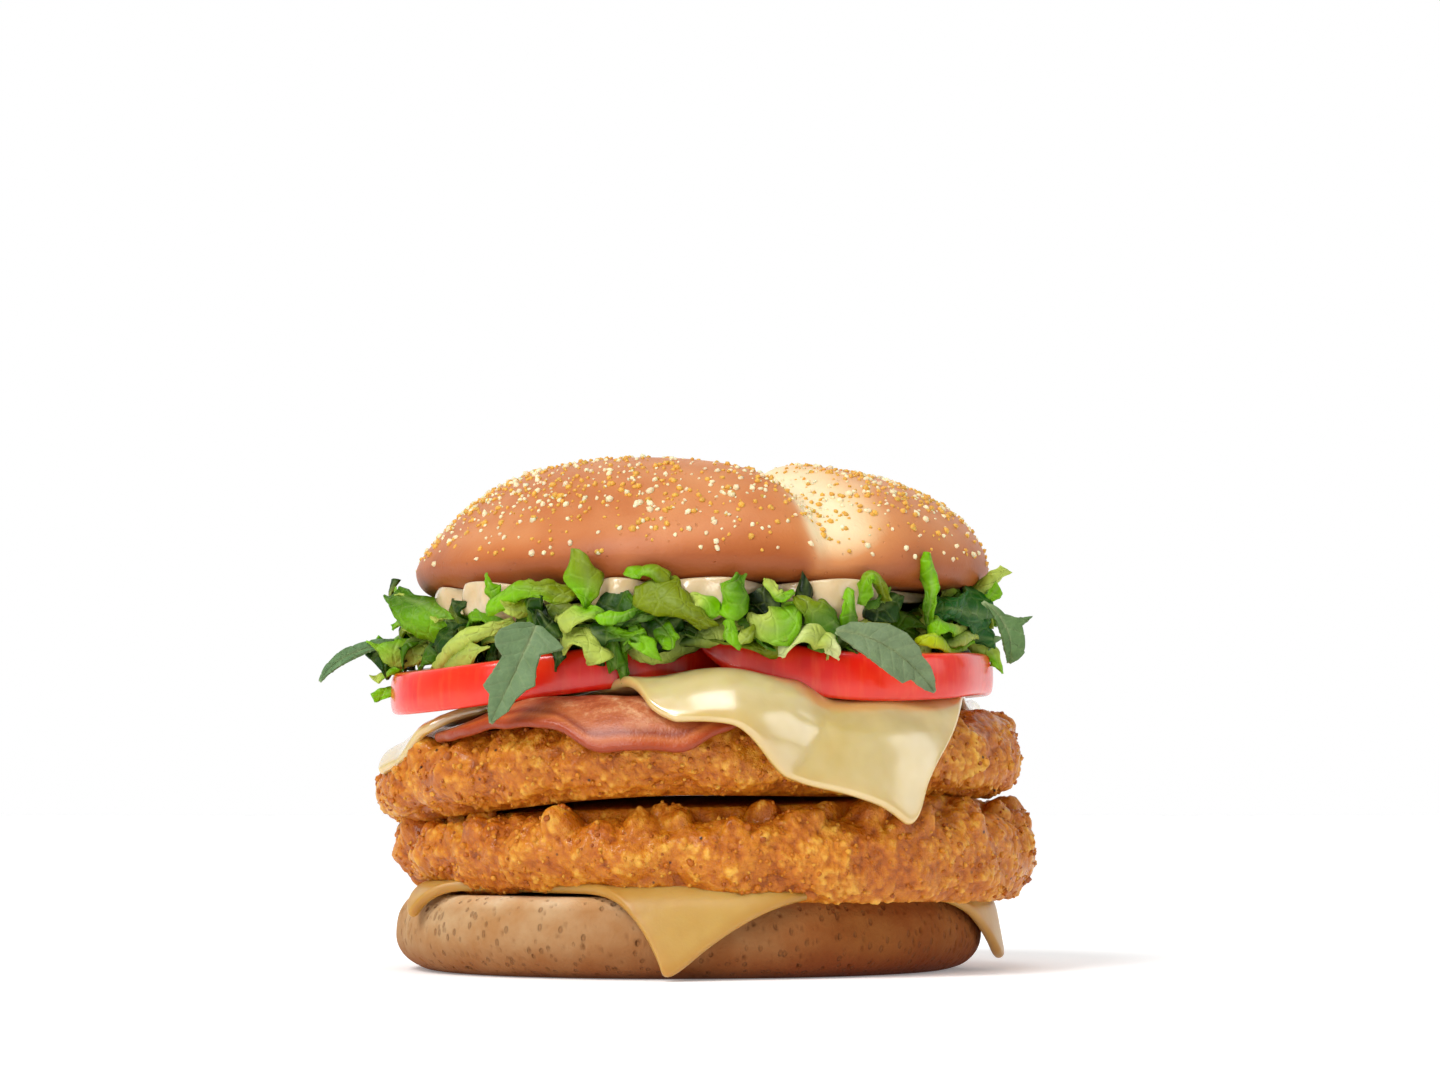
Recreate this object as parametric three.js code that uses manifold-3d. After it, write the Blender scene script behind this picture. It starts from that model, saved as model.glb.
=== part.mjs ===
// A double chicken burger at its real size, in millimetres. +Z is up and +Y points away from the front.
// The origin is the middle of the flat base of the lower bun.
//
// From the bottom: lower bun, cheese slice, breaded chicken patty, a second patty, one rasher of bacon,
// a second cheese slice, two tomato slices, shredded lettuce with four rocket leaves, sauce, and a
// twisted upper bun with corn grits on it. Each piece is one closed solid.

import * as THREE from "three";
import { mergeVertices } from "three/addons/utils/BufferGeometryUtils.js";
import Module from "manifold-3d";

const wasm = await Module();
wasm.setup();

// ---------------------------------------------------------------------------------------------------
// Driving dimensions
// ---------------------------------------------------------------------------------------------------

const BUN_RADIUS = 50.3;
const BURGER_HEIGHT = 87.9;
const CHEESE_THICKNESS = 1.8;
const BACON_THICKNESS = 1.8;
const LEAF_THICKNESS = 0.8;
const GAP = 0.3; // air between two pieces that touch
const DRAPE_GAP = 0.6; // air under a sheet that bends over a shoulder

// The layers don't lie exactly over each other: each centre is given from the middle of the lower bun.
const HEEL = { x: 0, height: 13.2, shoulder: 4.6, toe: 7, belly: 6.2 };
const CROWN = { x: 2.7, radius: 49.8, underside: 64.4, undercut: 4.2, height: BURGER_HEIGHT - 64.4 };
const LOWER_PATTY = { x: 5, length: 110.8, depth: 103, floor: 16.1, crest: 29.85, seed: 3 };
const UPPER_PATTY = { x: 1.6, length: 110.8, depth: 104, floor: 30.15, crest: 43.8, seed: 8 };
const PATTY_EDGE = 8.4; // how far in from its outline a patty starts to round over
const TOMATO_RADIUS = 32.5;

// ---------------------------------------------------------------------------------------------------
// Small tools
// ---------------------------------------------------------------------------------------------------

const { sin, cos, abs, min, max, sqrt, hypot, atan2, floor, log, PI } = Math;
const TURN = 2 * PI;
const RAD = PI / 180;
const mix = (a, b, t) => a + (b - a) * t;
const ease = (a, b, x) => THREE.MathUtils.smoothstep((x - a) / (b - a), 0, 1);
const point = (x, y, z) => new THREE.Vector3(x, y, z);
const polar = (radius, turn) => [radius * cos(turn), radius * sin(turn)];

// Seeded random numbers from 0 to 1.
function dice(seed) {
  let state = seed * 7919 + 17;
  return () => {
    state = (state * 16807) % 2147483647;
    return state / 2147483647;
  };
}

// Smooth lumps of about one size, from -1 to 1: five waves whose directions fan out by the golden angle.
function lumps(x, y, z, size, seed) {
  let sum = 0;
  for (let i = 0; i < 5; i++) {
    const heading = 2.39996 * (i + seed);
    const rise = 0.9 * sin(1.7 * i + seed);
    const along = x * cos(heading) + y * sin(heading) + z * rise;
    sum += sin((TURN * along * (0.8 + 0.13 * i)) / size + 1.3 * i * seed);
  }
  return sum / 3;
}

// A closed skin: rings of equal length, listed from the top point down to the bottom point. Each four
// neighbours are split along their shorter diagonal.
function skin(top, rings, bottom) {
  const count = rings[0].length;
  const spots = [top, ...rings.flat(), bottom];
  const at = (ring, i) => 1 + ring * count + (i % count);
  const last = spots.length - 1;
  const faces = [];
  for (let i = 0; i < count; i++) {
    faces.push(0, at(0, i), at(0, i + 1));
    faces.push(last, at(rings.length - 1, i + 1), at(rings.length - 1, i));
    for (let ring = 0; ring < rings.length - 1; ring++) {
      const [a, b, c, d] = [at(ring, i), at(ring + 1, i), at(ring + 1, i + 1), at(ring, i + 1)];
      if (spots[a].distanceTo(spots[c]) < spots[b].distanceTo(spots[d])) {
        faces.push(a, b, c, a, c, d);
      } else {
        faces.push(a, b, d, b, c, d);
      }
    }
  }
  const geometry = new THREE.BufferGeometry().setFromPoints(spots);
  geometry.setIndex(faces);
  return geometry;
}

// A thin sheet over a grid of u and v from 0 to 1. middle(u, v) is its middle surface, and both faces
// lie half a thickness from it and are split into triangles alike. round closes u onto itself.
function sheet(across, along, middle, thickness) {
  const step = 1e-3;
  const spots = [];
  for (const side of [1, -1]) {
    for (let j = 0; j <= along; j++) {
      for (let i = 0; i <= across; i++) {
        const [u, v] = [i / across, j / along];
        const here = middle(u, v);
        const du = middle(min(u + step, 1), v).sub(middle(max(u - step, 0), v));
        const dv = middle(u, min(v + step, 1)).sub(middle(u, max(v - step, 0)));
        spots.push(here.add(du.cross(dv).setLength((side * thickness) / 2)));
      }
    }
  }
  const row = across + 1;
  const half = row * (along + 1);
  const faces = [];
  const quad = (a, b, c, d) => faces.push(a, b, c, a, c, d);
  for (let j = 0; j < along; j++) {
    for (let i = 0; i < across; i++) {
      const a = j * row + i;
      quad(a, a + 1, a + row + 1, a + row);
      quad(half + a, half + a + row, half + a + row + 1, half + a + 1);
    }
    const left = j * row;
    const right = left + across;
    quad(left, left + row, half + left + row, half + left);
    quad(right, half + right, half + right + row, right + row);
  }
  for (let i = 0; i < across; i++) {
    const far = along * row + i;
    quad(i, half + i, half + i + 1, i + 1);
    quad(far, far + 1, half + far + 1, half + far);
  }
  const geometry = new THREE.BufferGeometry().setFromPoints(spots);
  geometry.setIndex(faces);
  return geometry;
}

// The same for a sheet laid out round a centre: rings of the outline, drawn in to the middle.
function roundSheet(count, shares, middle, thickness) {
  const step = 1e-3;
  const offset = (turn, share, side) => {
    const here = middle(turn, share);
    const du = middle(turn + step, share).sub(middle(turn - step, share));
    const dv = middle(turn, share - step).sub(middle(turn, share + step));
    return here.add(du.cross(dv).setLength((side * thickness) / 2));
  };
  const ring = (share, side) =>
    Array.from({ length: count }, (_, i) => offset(i / count, share, side));
  const hub = (side) => middle(0, 0).add(point(0, 0, (side * thickness) / 2));
  const upper = shares.map((share) => ring(share, 1));
  const lower = shares.map((share) => ring(share, -1)).reverse();
  return skin(hub(1), [...upper, ...lower], hub(-1));
}

// three.js geometry to a manifold solid and back, for joining and cutting.
function solid(geometry) {
  const bare = geometry.clone();
  bare.deleteAttribute("normal");
  bare.deleteAttribute("uv");
  const merged = mergeVertices(bare, 1e-4);
  return new wasm.Manifold(
    new wasm.Mesh({
      numProp: 3,
      vertProperties: merged.attributes.position.array,
      triVerts: new Uint32Array(merged.index.array),
    }),
  );
}

function geometryOf(shape) {
  const mesh = shape.getMesh();
  const geometry = new THREE.BufferGeometry();
  geometry.setAttribute("position", new THREE.BufferAttribute(mesh.vertProperties, 3));
  geometry.setIndex(new THREE.BufferAttribute(mesh.triVerts, 1));
  return geometry;
}

// Cuts every cutter out of a geometry and keeps the largest body, so that no loose scrap is left.
function cutClear(geometry, cutters) {
  let shape = solid(geometry);
  for (const cutter of cutters) {
    shape = shape.subtract(solid(cutter));
  }
  const bodies = shape.decompose().sort((a, b) => b.volume() - a.volume());
  return geometryOf(bodies[0]);
}

const burger = new THREE.Group();

function add(name, geometry, colour, roughness) {
  geometry.computeVertexNormals();
  const material = new THREE.MeshStandardMaterial({ color: colour, roughness, metalness: 0 });
  const mesh = new THREE.Mesh(geometry, material);
  mesh.name = name;
  burger.add(mesh);
}

// ---------------------------------------------------------------------------------------------------
// Lower bun: a flat base, a belly low on the side and a rounded shoulder
// ---------------------------------------------------------------------------------------------------

const heelRadius = (turn) => BUN_RADIUS + 0.5 * sin(2 * turn + 0.9) + 0.35 * sin(3 * turn + 2.2);

function heel(grow = 0) {
  const spokes = 30;
  const levels = [];
  for (const lift of [72, 48, 24, 0]) {
    const rise = HEEL.height - HEEL.belly;
    const out = HEEL.shoulder * (1 - cos(lift * RAD));
    levels.push([out, HEEL.belly + rise * sin(lift * RAD) + grow]);
  }
  for (const drop of [45, 90]) {
    levels.push([HEEL.toe * (1 - cos(drop * RAD)), HEEL.belly * (1 - sin(drop * RAD))]);
  }
  levels.unshift([HEEL.shoulder + 14, HEEL.height + grow], [HEEL.shoulder, HEEL.height + grow]);
  const rings = levels.map(([inward, z]) =>
    Array.from({ length: spokes }, (_, i) => {
      const turn = (TURN * i) / spokes;
      const [x, y] = polar(heelRadius(turn) + grow - inward, turn);
      return point(HEEL.x + x, y, z);
    }),
  );
  return skin(point(HEEL.x, 0, HEEL.height + grow), rings, point(HEEL.x, 0, 0));
}

// ---------------------------------------------------------------------------------------------------
// Breaded patties: a rounded edge with crags, which are deepest along the upper edge
// ---------------------------------------------------------------------------------------------------

// The height of a patty's rounded edge, above and below, goes round with the direction it faces.
// Both lie lower on the left, where they hang past the layer below. The lower patty is cut in there
// under its edge, and fuller all round below than above.
const leftDrop = (turn) => max(0, -cos(turn)) ** 1.3;
LOWER_PATTY.brow = (turn) => 27.8 + 0.9 * abs(cos(turn)) - 2.4 * leftDrop(turn);
LOWER_PATTY.chin = (turn) => {
  const aboveCheese = 1.2 * Math.exp((cos(turn + 122 * RAD) - 1) / 0.05);
  return 12.6 - 0.5 * cos(turn) + aboveCheese;
};
LOWER_PATTY.undercut = (turn, bend) => 4.2 * leftDrop(turn) * ease(10, -70, bend);
LOWER_PATTY.full = (turn) => 0.4 + 0.25 * abs(cos(turn));
UPPER_PATTY.brow = (turn) => 43.4 + 0.6 * cos(turn) - 6.3 * leftDrop(turn);
UPPER_PATTY.chin = (turn) => 29.7 - 0.4 * abs(cos(turn)) - 4.4 * leftDrop(turn) ** 1.5;
UPPER_PATTY.undercut = () => 0;
UPPER_PATTY.full = () => 0.85;

function pattyRadius(patty, turn) {
  const [a, b] = [patty.length / 2, patty.depth / 2];
  const oval = (a * b) / hypot(b * cos(turn), a * sin(turn));
  return oval + 0.7 * sin(3 * turn + patty.seed) + 0.5 * sin(5 * turn + 2 * patty.seed);
}

// The height of the top (or the floor) of a patty, from its middle to where its edge rounds over.
function pattyFace(centre, edge, share) {
  return mix(centre, edge, min(share, 1) ** 3);
}

function patty(dims, grow = 0) {
  const spokes = 40;
  const hub = [0.6, 1];
  const bends = [66, 44, 22, 0, -22, -44, -66];
  const build = (spot) => Array.from({ length: spokes }, (_, i) => spot((TURN * i) / spokes));
  const flat = (centre, edge, share, side) =>
    build((turn) => {
      const [x, y] = polar((pattyRadius(dims, turn) - PATTY_EDGE) * share, turn);
      return point(dims.x + x, y, pattyFace(centre, edge(turn), share) + side * grow);
    });
  const round = (bend) =>
    build((turn) => {
      const half = (dims.brow(turn) - dims.chin(turn)) / 2 + grow;
      const middle = (dims.brow(turn) + dims.chin(turn)) / 2;
      const [out, up] = [cos(bend * RAD), sin(bend * RAD)];
      const bulge = out ** (bend < 0 ? dims.full(turn) : 1);
      const inward = PATTY_EDGE + dims.undercut(turn, bend);
      const radius = pattyRadius(dims, turn) - inward + (PATTY_EDGE + grow) * bulge;
      const [x, y] = polar(radius, turn);
      const rough = lumps(x, y, 6 * up, 15, dims.seed) + 0.5 * lumps(x, y, 9 * up, 8, dims.seed + 4);
      const crest = max(0, lumps(x, y, 0, 9, dims.seed + 2)) * ease(0, 44, bend) * ease(80, 60, bend);
      const crag = 0.6 * rough * ease(85, 45, abs(bend)) + 1.1 * crest;
      const [cx, cy] = polar(radius + crag * out, turn);
      return point(dims.x + cx, cy, middle + half * up + crag * up);
    });
  const rings = [
    ...hub.map((share) => flat(dims.crest, dims.brow, share, 1)),
    ...bends.map(round),
    ...hub.toReversed().map((share) => flat(dims.floor, dims.chin, share, -1)),
  ];
  const top = point(dims.x, 0, dims.crest + grow);
  return skin(top, rings, point(dims.x, 0, dims.floor - grow));
}

// ---------------------------------------------------------------------------------------------------
// What lies on a bun or a patty: a sheet that runs flat, bends over the shoulder and hangs
// ---------------------------------------------------------------------------------------------------

const HEEL_TOP = {
  x: HEEL.x,
  shoulder: HEEL.shoulder,
  outline: (turn) => heelRadius(turn) + 0.35,
  height: () => HEEL.height,
  steepest: 80 * RAD,
};

const PATTY_TOP = {
  x: UPPER_PATTY.x,
  shoulder: PATTY_EDGE,
  outline: (turn) => pattyRadius(UPPER_PATTY, turn) + 1,
  height: (turn, share) => pattyFace(UPPER_PATTY.crest, UPPER_PATTY.brow(turn), share),
  steepest: 82 * RAD,
};

// Where the point (x, y) of a flat sheet comes to lie, lift above what carries it.
function drape(carrier, x, y, lift) {
  const reach = hypot(x, y);
  const turn = atan2(y, x);
  const start = carrier.outline(turn) - carrier.shoulder;
  const top = carrier.height(turn, reach / start);
  if (reach <= start) {
    return point(carrier.x + x, y, top + lift);
  }
  const bend = carrier.shoulder + lift;
  const angle = min((reach - start) / bend, carrier.steepest);
  const rest = reach - start - angle * bend;
  const out = start + bend * sin(angle) + rest * cos(angle);
  const z = top - carrier.shoulder + bend * cos(angle) - rest * sin(angle);
  const [ox, oy] = polar(out, turn);
  return point(carrier.x + ox, oy, z);
}

// The outline of a slice: corners [reach, degrees], rounded, and sides that bow outwards by an amount,
// most at a share of their length.
function sliceOutline({ corners, bow }, t) {
  const round = 0.07;
  const sides = corners.length;
  const at = (k) => polar(corners[k % sides][0], corners[k % sides][1] * RAD);
  const along = (k, f) => {
    const [[ax, ay], [bx, by]] = [at(k), at(k + 1)];
    const [amount, peak] = bow[k % sides];
    const g = peak > 0.5 ? 1 - (1 - f) ** (log(0.5) / log(1 - peak)) : f ** (log(0.5) / log(peak));
    const swell = (4 * g * (1 - g) * amount) / hypot(by - ay, ax - bx);
    return [mix(ax, bx, f) + (by - ay) * swell, mix(ay, by, f) + (ax - bx) * swell];
  };
  const k = floor(t * sides) % sides;
  const f = t * sides - floor(t * sides);
  if (f >= round && f <= 1 - round) {
    return along(k, f);
  }
  const corner = f < round ? k : k + 1;
  const before = along(corner + sides - 1, 1 - round);
  const after = along(corner, round);
  const s = f < round ? 0.5 + (0.5 * f) / round : (0.5 * (f - 1 + round)) / round;
  return [0, 1].map((i) =>
    mix(mix(before[i], at(corner)[i], s), mix(at(corner)[i], after[i], s), s),
  );
}

// Corners go round anticlockwise: front, right, back and left, then where the side from the left
// corner to the front one is taken in, out of sight.
const LOWER_SLICE = {
  corners: [[64.2, -93.2], [65.2, -4.5], [58.5, 86], [57, 210], [46.6, 238]],
  bow: [[2.6, 0.72], [-1, 0.5], [0, 0.5], [-4.3, 0.6], [-3.8, 0.5]],
};
const UPPER_SLICE = {
  corners: [[73.5, -51], [60, 27], [50, 122], [58.5, 198], [54, 213], [40, 232], [57.5, -97]],
  bow: [[-4, 0.32], [0, 0.5], [2, 0.5], [0, 0.5], [0, 0.5], [-2, 0.5], [3.5, 0.3]],
};
const SLICE_SHARES = [0.7, 0.76, 0.82, 0.88, 0.94, 1];

function lowerCheese(grow = 0) {
  const lift = DRAPE_GAP + CHEESE_THICKNESS / 2;
  const middle = (turn, share) => {
    const [x, y] = sliceOutline(LOWER_SLICE, (turn + 1) % 1);
    const scale = share * (1 + grow / 50);
    return drape(HEEL_TOP, x * scale, y * scale, lift);
  };
  return roundSheet(36, SLICE_SHARES, middle, CHEESE_THICKNESS + 2 * grow);
}

// The bacon's middle, and how far it reaches from there, every fifteen degrees anticlockwise.
const BACON = {
  x: -14,
  y: -3,
  reach: [
    28.5, 29.5, 31.5, 35, 43, 51, 53, 50, 42, 34.5, 29.5, 26,
    25, 26, 31, 41, 45.5, 49.3, 56, 58.8, 52.5, 41, 33, 29.3,
  ],
};

// A smooth curve through those reaches.
function baconRadius(turn) {
  const count = BACON.reach.length;
  const step = ((turn / TURN + 2) % 1) * count;
  const first = floor(step);
  const t = step - first;
  const [a, b, c, d] = [-1, 0, 1, 2].map((k) => BACON.reach[(first + k + count) % count]);
  return b + (t * (c - a + t * (2 * a - 5 * b + 4 * c - d + t * (3 * b - a - 3 * c + d)))) / 2;
}

// The rasher is stiff: it stands off the patty at its left, and ripples where it hangs over the edge.
function baconLift(x, y) {
  const turn = atan2(y, x);
  const standOff = 2.4 * Math.exp((cos(turn + 120 * RAD) - 1) / 0.07);
  return ease(38, 50, hypot(x, y)) * (0.7 + 0.5 * sin(9 * turn + 2.4) + standOff);
}

function liftOverBacon(x, y) {
  const [dx, dy] = [x - BACON.x, y - BACON.y];
  const under = ease(12, 3, hypot(dx, dy) - baconRadius(atan2(dy, dx)));
  return (BACON_THICKNESS + DRAPE_GAP + baconLift(x, y)) * under;
}

function upperCheese(grow = 0) {
  const middle = (turn, share) => {
    const [x, y] = sliceOutline(UPPER_SLICE, (turn + 1) % 1);
    const scale = share * (1 + grow / 50);
    const [sx, sy] = [x * scale, y * scale];
    const facing = atan2(sy, sx);
    const loose = ease(43, 52, hypot(sx, sy)) * ease(-0.95, -0.6, cos(facing));
    const fold = 0.5 * loose * (1.3 + sin(13 * facing + 1.4));
    const lift = DRAPE_GAP + CHEESE_THICKNESS / 2 + liftOverBacon(sx, sy) + fold;
    return drape(PATTY_TOP, sx, sy, lift);
  };
  return roundSheet(38, [0.33, 0.48, 0.6, ...SLICE_SHARES], middle, CHEESE_THICKNESS + 2 * grow);
}

// ---------------------------------------------------------------------------------------------------
// Bacon: one wavy rasher over the upper patty, whose ends hang out in front and behind
// ---------------------------------------------------------------------------------------------------

function bacon(grow = 0) {
  const middle = (turn, share) => {
    const reach = (baconRadius(TURN * turn) + grow) * share;
    const [dx, dy] = polar(reach, TURN * turn);
    const [x, y] = [BACON.x + dx, BACON.y + dy];
    return drape(PATTY_TOP, x, y, DRAPE_GAP + BACON_THICKNESS / 2 + baconLift(x, y));
  };
  return roundSheet(36, [0.4, 0.62, 0.75, 0.87, 1], middle, BACON_THICKNESS + 2 * grow);
}

// ---------------------------------------------------------------------------------------------------
// Tomato: two wedge-cut slices, the right one lying over the left one and sagging at the front
// ---------------------------------------------------------------------------------------------------

const LEFT_TOMATO = {
  x: -18.3,
  y: -12,
  below: (dx, dy) => 48.1 + 0.14 * dx + 0.06 * dy - 0.0033 * max(0, dx) ** 2,
  depth: (dx) => 7.1 - 0.0012 * max(0, dx) ** 2,
};
const RIGHT_TOMATO = {
  x: 19.2,
  y: -12,
  below: (dx, dy) => {
    const past = hypot(dx + RIGHT_TOMATO.x - LEFT_TOMATO.x, dy) - TOMATO_RADIUS;
    const overLeft = 7.9 * min(1, Math.exp((1 - past) / 6));
    return 47.9 - 0.09 * dx + 0.0018 * max(0, dx) ** 2 - 0.0024 * min(0, dy) ** 2 + overLeft;
  },
  depth: (dx, dy) => 6.9 + 0.075 * min(0, dx) - 0.03 * dy,
};

// sink carries the slice's underside down, for the room that a slice and what is under it take up.
function tomato(slice, grow = 0, sink = 0) {
  const spokes = 28;
  const edge = 1.4;
  const level = (inward, share) =>
    Array.from({ length: spokes }, (_, i) => {
      const turn = (TURN * i) / spokes;
      const radius = TOMATO_RADIUS + grow + 0.5 * sin(5 * turn + slice.x) - inward;
      const [dx, dy] = polar(radius, turn);
      const rise = mix(-grow - sink, slice.depth(dx, dy) + grow, share);
      return point(slice.x + dx, slice.y + dy, slice.below(dx, dy) + rise);
    });
  const rings = [
    level(17, 1),
    level(edge, 1),
    level(0, 0.82),
    level(-0.5, 0.5),
    level(0, 0.18),
    level(edge, 0),
    level(17, 0),
  ];
  const bottom = slice.below(0, 0);
  const top = point(slice.x, slice.y, bottom + slice.depth(0, 0) + grow);
  return skin(top, rings, point(slice.x, slice.y, bottom - grow - sink));
}

// ---------------------------------------------------------------------------------------------------
// Upper bun: a dome of two twisted lobes with a crease between them
// ---------------------------------------------------------------------------------------------------

const creaseAt = (y) => 7 + 0.25 * max(0, -3 - y) ** 1.08 - 0.1 * max(0, y);

// How far the crease takes the crust in. In front it is steep under the left lobe, with a long ramp up
// the right one, and over the top it is the other way round.
function creaseDepth(x, y) {
  const across = x - creaseAt(y);
  const front = ease(-12, -38, y);
  const spread = across < 0 ? mix(14, 4.5, front) : mix(5.2, 10, front);
  const depth = mix(4.8, 4.1, front) * Math.exp(-((across / spread) ** 2));
  return depth + 0.5 * ease(0, 12, across);
}

const crownRadius = (turn) => CROWN.radius + 0.4 * sin(2 * turn + 1.5) + 0.3 * sin(3 * turn);

// A point of the crust: share runs from 0 at the top of the dome to 1 at its widest. The left lobe
// slopes off sooner than the right one.
function crust(turn, share, grow = 0) {
  const bend = (share * PI) / 2;
  const right = ease(-0.6, 0.6, cos(turn));
  const fullness = mix(0.47 + 0.32 * min(share / 0.75, 1) ** 1.5, 0.68, right);
  const radius = (crownRadius(turn) + grow) * sin(bend) ** fullness;
  const rise = (CROWN.height - CROWN.undercut + grow) * cos(bend) ** mix(1.4, 1.03, right);
  const [x, y] = polar(radius, turn);
  const dent = creaseDepth(x, y) * (0.35 + 0.65 * cos(bend));
  const [cx, cy] = polar(radius - 0.9 * dent * sin(bend), turn);
  return point(CROWN.x + cx, cy, CROWN.underside + CROWN.undercut + rise - dent);
}

function crown(grow = 0) {
  const spokes = 42;
  const ring = (spot) => Array.from({ length: spokes }, (_, i) => spot((TURN * i) / spokes));
  const shares = [0.12, 0.23, 0.34, 0.45, 0.56, 0.67, 0.78, 0.89, 1];
  const under = [30, 65, 90].map((drop) =>
    ring((turn) => {
      const inward = CROWN.undercut * (1 - cos(drop * RAD));
      const rim = crust(turn, 1, grow);
      const out = hypot(rim.x - CROWN.x, rim.y) - inward;
      const [x, y] = polar(out, turn);
      const z = mix(rim.z, CROWN.underside - grow, sin(drop * RAD));
      return point(CROWN.x + x, y, z);
    }),
  );
  const rings = [...shares.map((share) => ring((turn) => crust(turn, share, grow))), ...under];
  return skin(crust(0, 0, grow), rings, point(CROWN.x, 0, CROWN.underside - grow));
}

// The largest corn grits, spread over the crust by the golden angle and half sunk in it.
function gritty(crownGeometry) {
  const count = 36;
  const roll = dice(5);
  let shape = solid(crownGeometry);
  for (let i = 0; i < count; i++) {
    const share = 0.06 + 0.84 * sqrt((i + 0.5) / count);
    const turn = i * 2.39996 + 0.5 * roll();
    const size = 0.8 + 0.4 * roll();
    const grit = new THREE.OctahedronGeometry(size, 0);
    grit.scale(1, 0.8 + 0.2 * roll(), 0.9);
    grit.rotateZ(TURN * roll());
    grit.rotateX(TURN * roll());
    const at = crust(turn, share);
    grit.translate(at.x, at.y, at.z);
    shape = shape.add(solid(grit));
  }
  return geometryOf(shape);
}

// ---------------------------------------------------------------------------------------------------
// Sauce: a thin layer under the upper bun, squeezed out in soft blobs at its edge
// ---------------------------------------------------------------------------------------------------

// Each blob: the way it faces in degrees, how far round it goes, and how far out it comes.
const BLOBS = [
  [-137, 10, 8.4],
  [-107, 6, 7.4],
  [-89, 9, 8.2],
  [-61, 11, 8.6],
  [30, 9, 7.2],
  [95, 12, 8],
  [160, 8, 7.4],
];

// 0 to 1, the nearest blob's swell in a direction.
function blobSwell(turn) {
  let swell = 0;
  let out = 0;
  for (const [facing, half, reach] of BLOBS) {
    const away = abs(((turn / RAD - facing + 540) % 360) - 180);
    const here = ease(half * 1.5, half * 0.4, away);
    if (here > swell) {
      [swell, out] = [here, reach];
    }
  }
  return [swell, out];
}

function sauce(grow = 0) {
  const spokes = 36;
  const top = CROWN.underside - GAP;
  const ring = (bend) =>
    Array.from({ length: spokes }, (_, i) => {
      const turn = (TURN * i) / spokes;
      const [swell, out] = blobSwell(turn);
      const half = mix(0.8, 2.9, swell) + grow;
      const reach = crownRadius(turn) - 8 + out * swell;
      const radius = reach + grow + half * (cos(bend * RAD) - 1);
      const [x, y] = polar(radius, turn);
      return point(CROWN.x + x, y, top - half + grow + half * sin(bend * RAD));
    });
  const inner = (z) =>
    Array.from({ length: spokes }, (_, i) => {
      const [x, y] = polar(34 + grow, (TURN * i) / spokes);
      return point(CROWN.x + x, y, z);
    });
  const floorZ = top - 1.6;
  const rings = [inner(top + grow), ...[80, 40, 0, -40, -80].map(ring), inner(floorZ - grow)];
  return skin(point(CROWN.x, 0, top + grow), rings, point(CROWN.x, 0, floorZ - grow));
}

// ---------------------------------------------------------------------------------------------------
// Rocket leaves: lobed blades on a curved midrib
// ---------------------------------------------------------------------------------------------------

// Each leaf: three points of its midrib, from stalk to tip, its widest half, the way its blade spreads,
// and how many lobes it has.
const ROCKET = {
  rocket_front_left: {
    rib: [[-24, -49.5, 57], [-27.2, -51.8, 49.5], [-31.2, -51.2, 41.2]],
    half: 5.6,
    spread: [0.8, 0.1, -0.55],
    lobes: 3,
  },
  rocket_front_right: {
    rib: [[24.5, -48.5, 56.2], [33, -51.8, 53.2], [40.4, -48, 46.3]],
    half: 5.0,
    spread: [0.5, 0.25, 0.85],
    lobes: 3,
  },
  rocket_far_left: {
    rib: [[-50, -15, 55.8], [-57.6, -16, 53.6], [-62.6, -16, 49.2]],
    half: 1.7,
    spread: [0.3, -0.5, 0.8],
    lobes: 1,
  },
  rocket_right: {
    rib: [[50, -24.5, 62.3], [53.8, -26.5, 57.5], [54.2, -25.5, 51.9]],
    half: 4.6,
    spread: [0.75, -0.3, 0.5],
    lobes: 3,
  },
};

function rocketLeaf({ rib, half, spread, lobes }, grow = 0) {
  const midrib = new THREE.QuadraticBezierCurve3(...rib.map((p) => point(...p)));
  const side = point(...spread).normalize();
  const middle = (u, v) => {
    const across = 2 * u - 1;
    const lobe = 0.72 + 0.28 * cos(TURN * lobes * v + 0.6);
    const width = (half + grow) * (0.12 + 0.88 * sin(PI * min(1, 0.06 + v * 0.94)) ** 0.8) * lobe;
    const keel = midrib.getTangent(v).cross(side).setLength(0.22 * width * abs(across));
    return midrib.getPoint(v).addScaledVector(side, width * across).add(keel);
  };
  return sheet(2, 11, middle, LEAF_THICKNESS + 2 * grow);
}

// ---------------------------------------------------------------------------------------------------
// Salad heap: a core between tomato and sauce, with the lettuce shreds that show fused on round it
// ---------------------------------------------------------------------------------------------------

const SALAD = { x: 1, radius: 44, floor: 44.8, top: 61.4 };

function saladCore() {
  const spokes = 24;
  const level = (inward, z) =>
    Array.from({ length: spokes }, (_, i) => {
      const turn = (TURN * i) / spokes;
      const [x, y] = polar(SALAD.radius - inward, turn);
      const bump = lumps(x, y, z, 13, 6);
      return point(SALAD.x + x * (1 + 0.03 * bump), y * (1 + 0.03 * bump), z + 0.6 * bump);
    });
  const { floor: low, top: high } = SALAD;
  const rings = [level(7, high), level(0, high - 3), level(0, high - 7), level(3, low)];
  return skin(point(SALAD.x, 0, high), rings, point(SALAD.x, 0, low));
}

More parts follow.
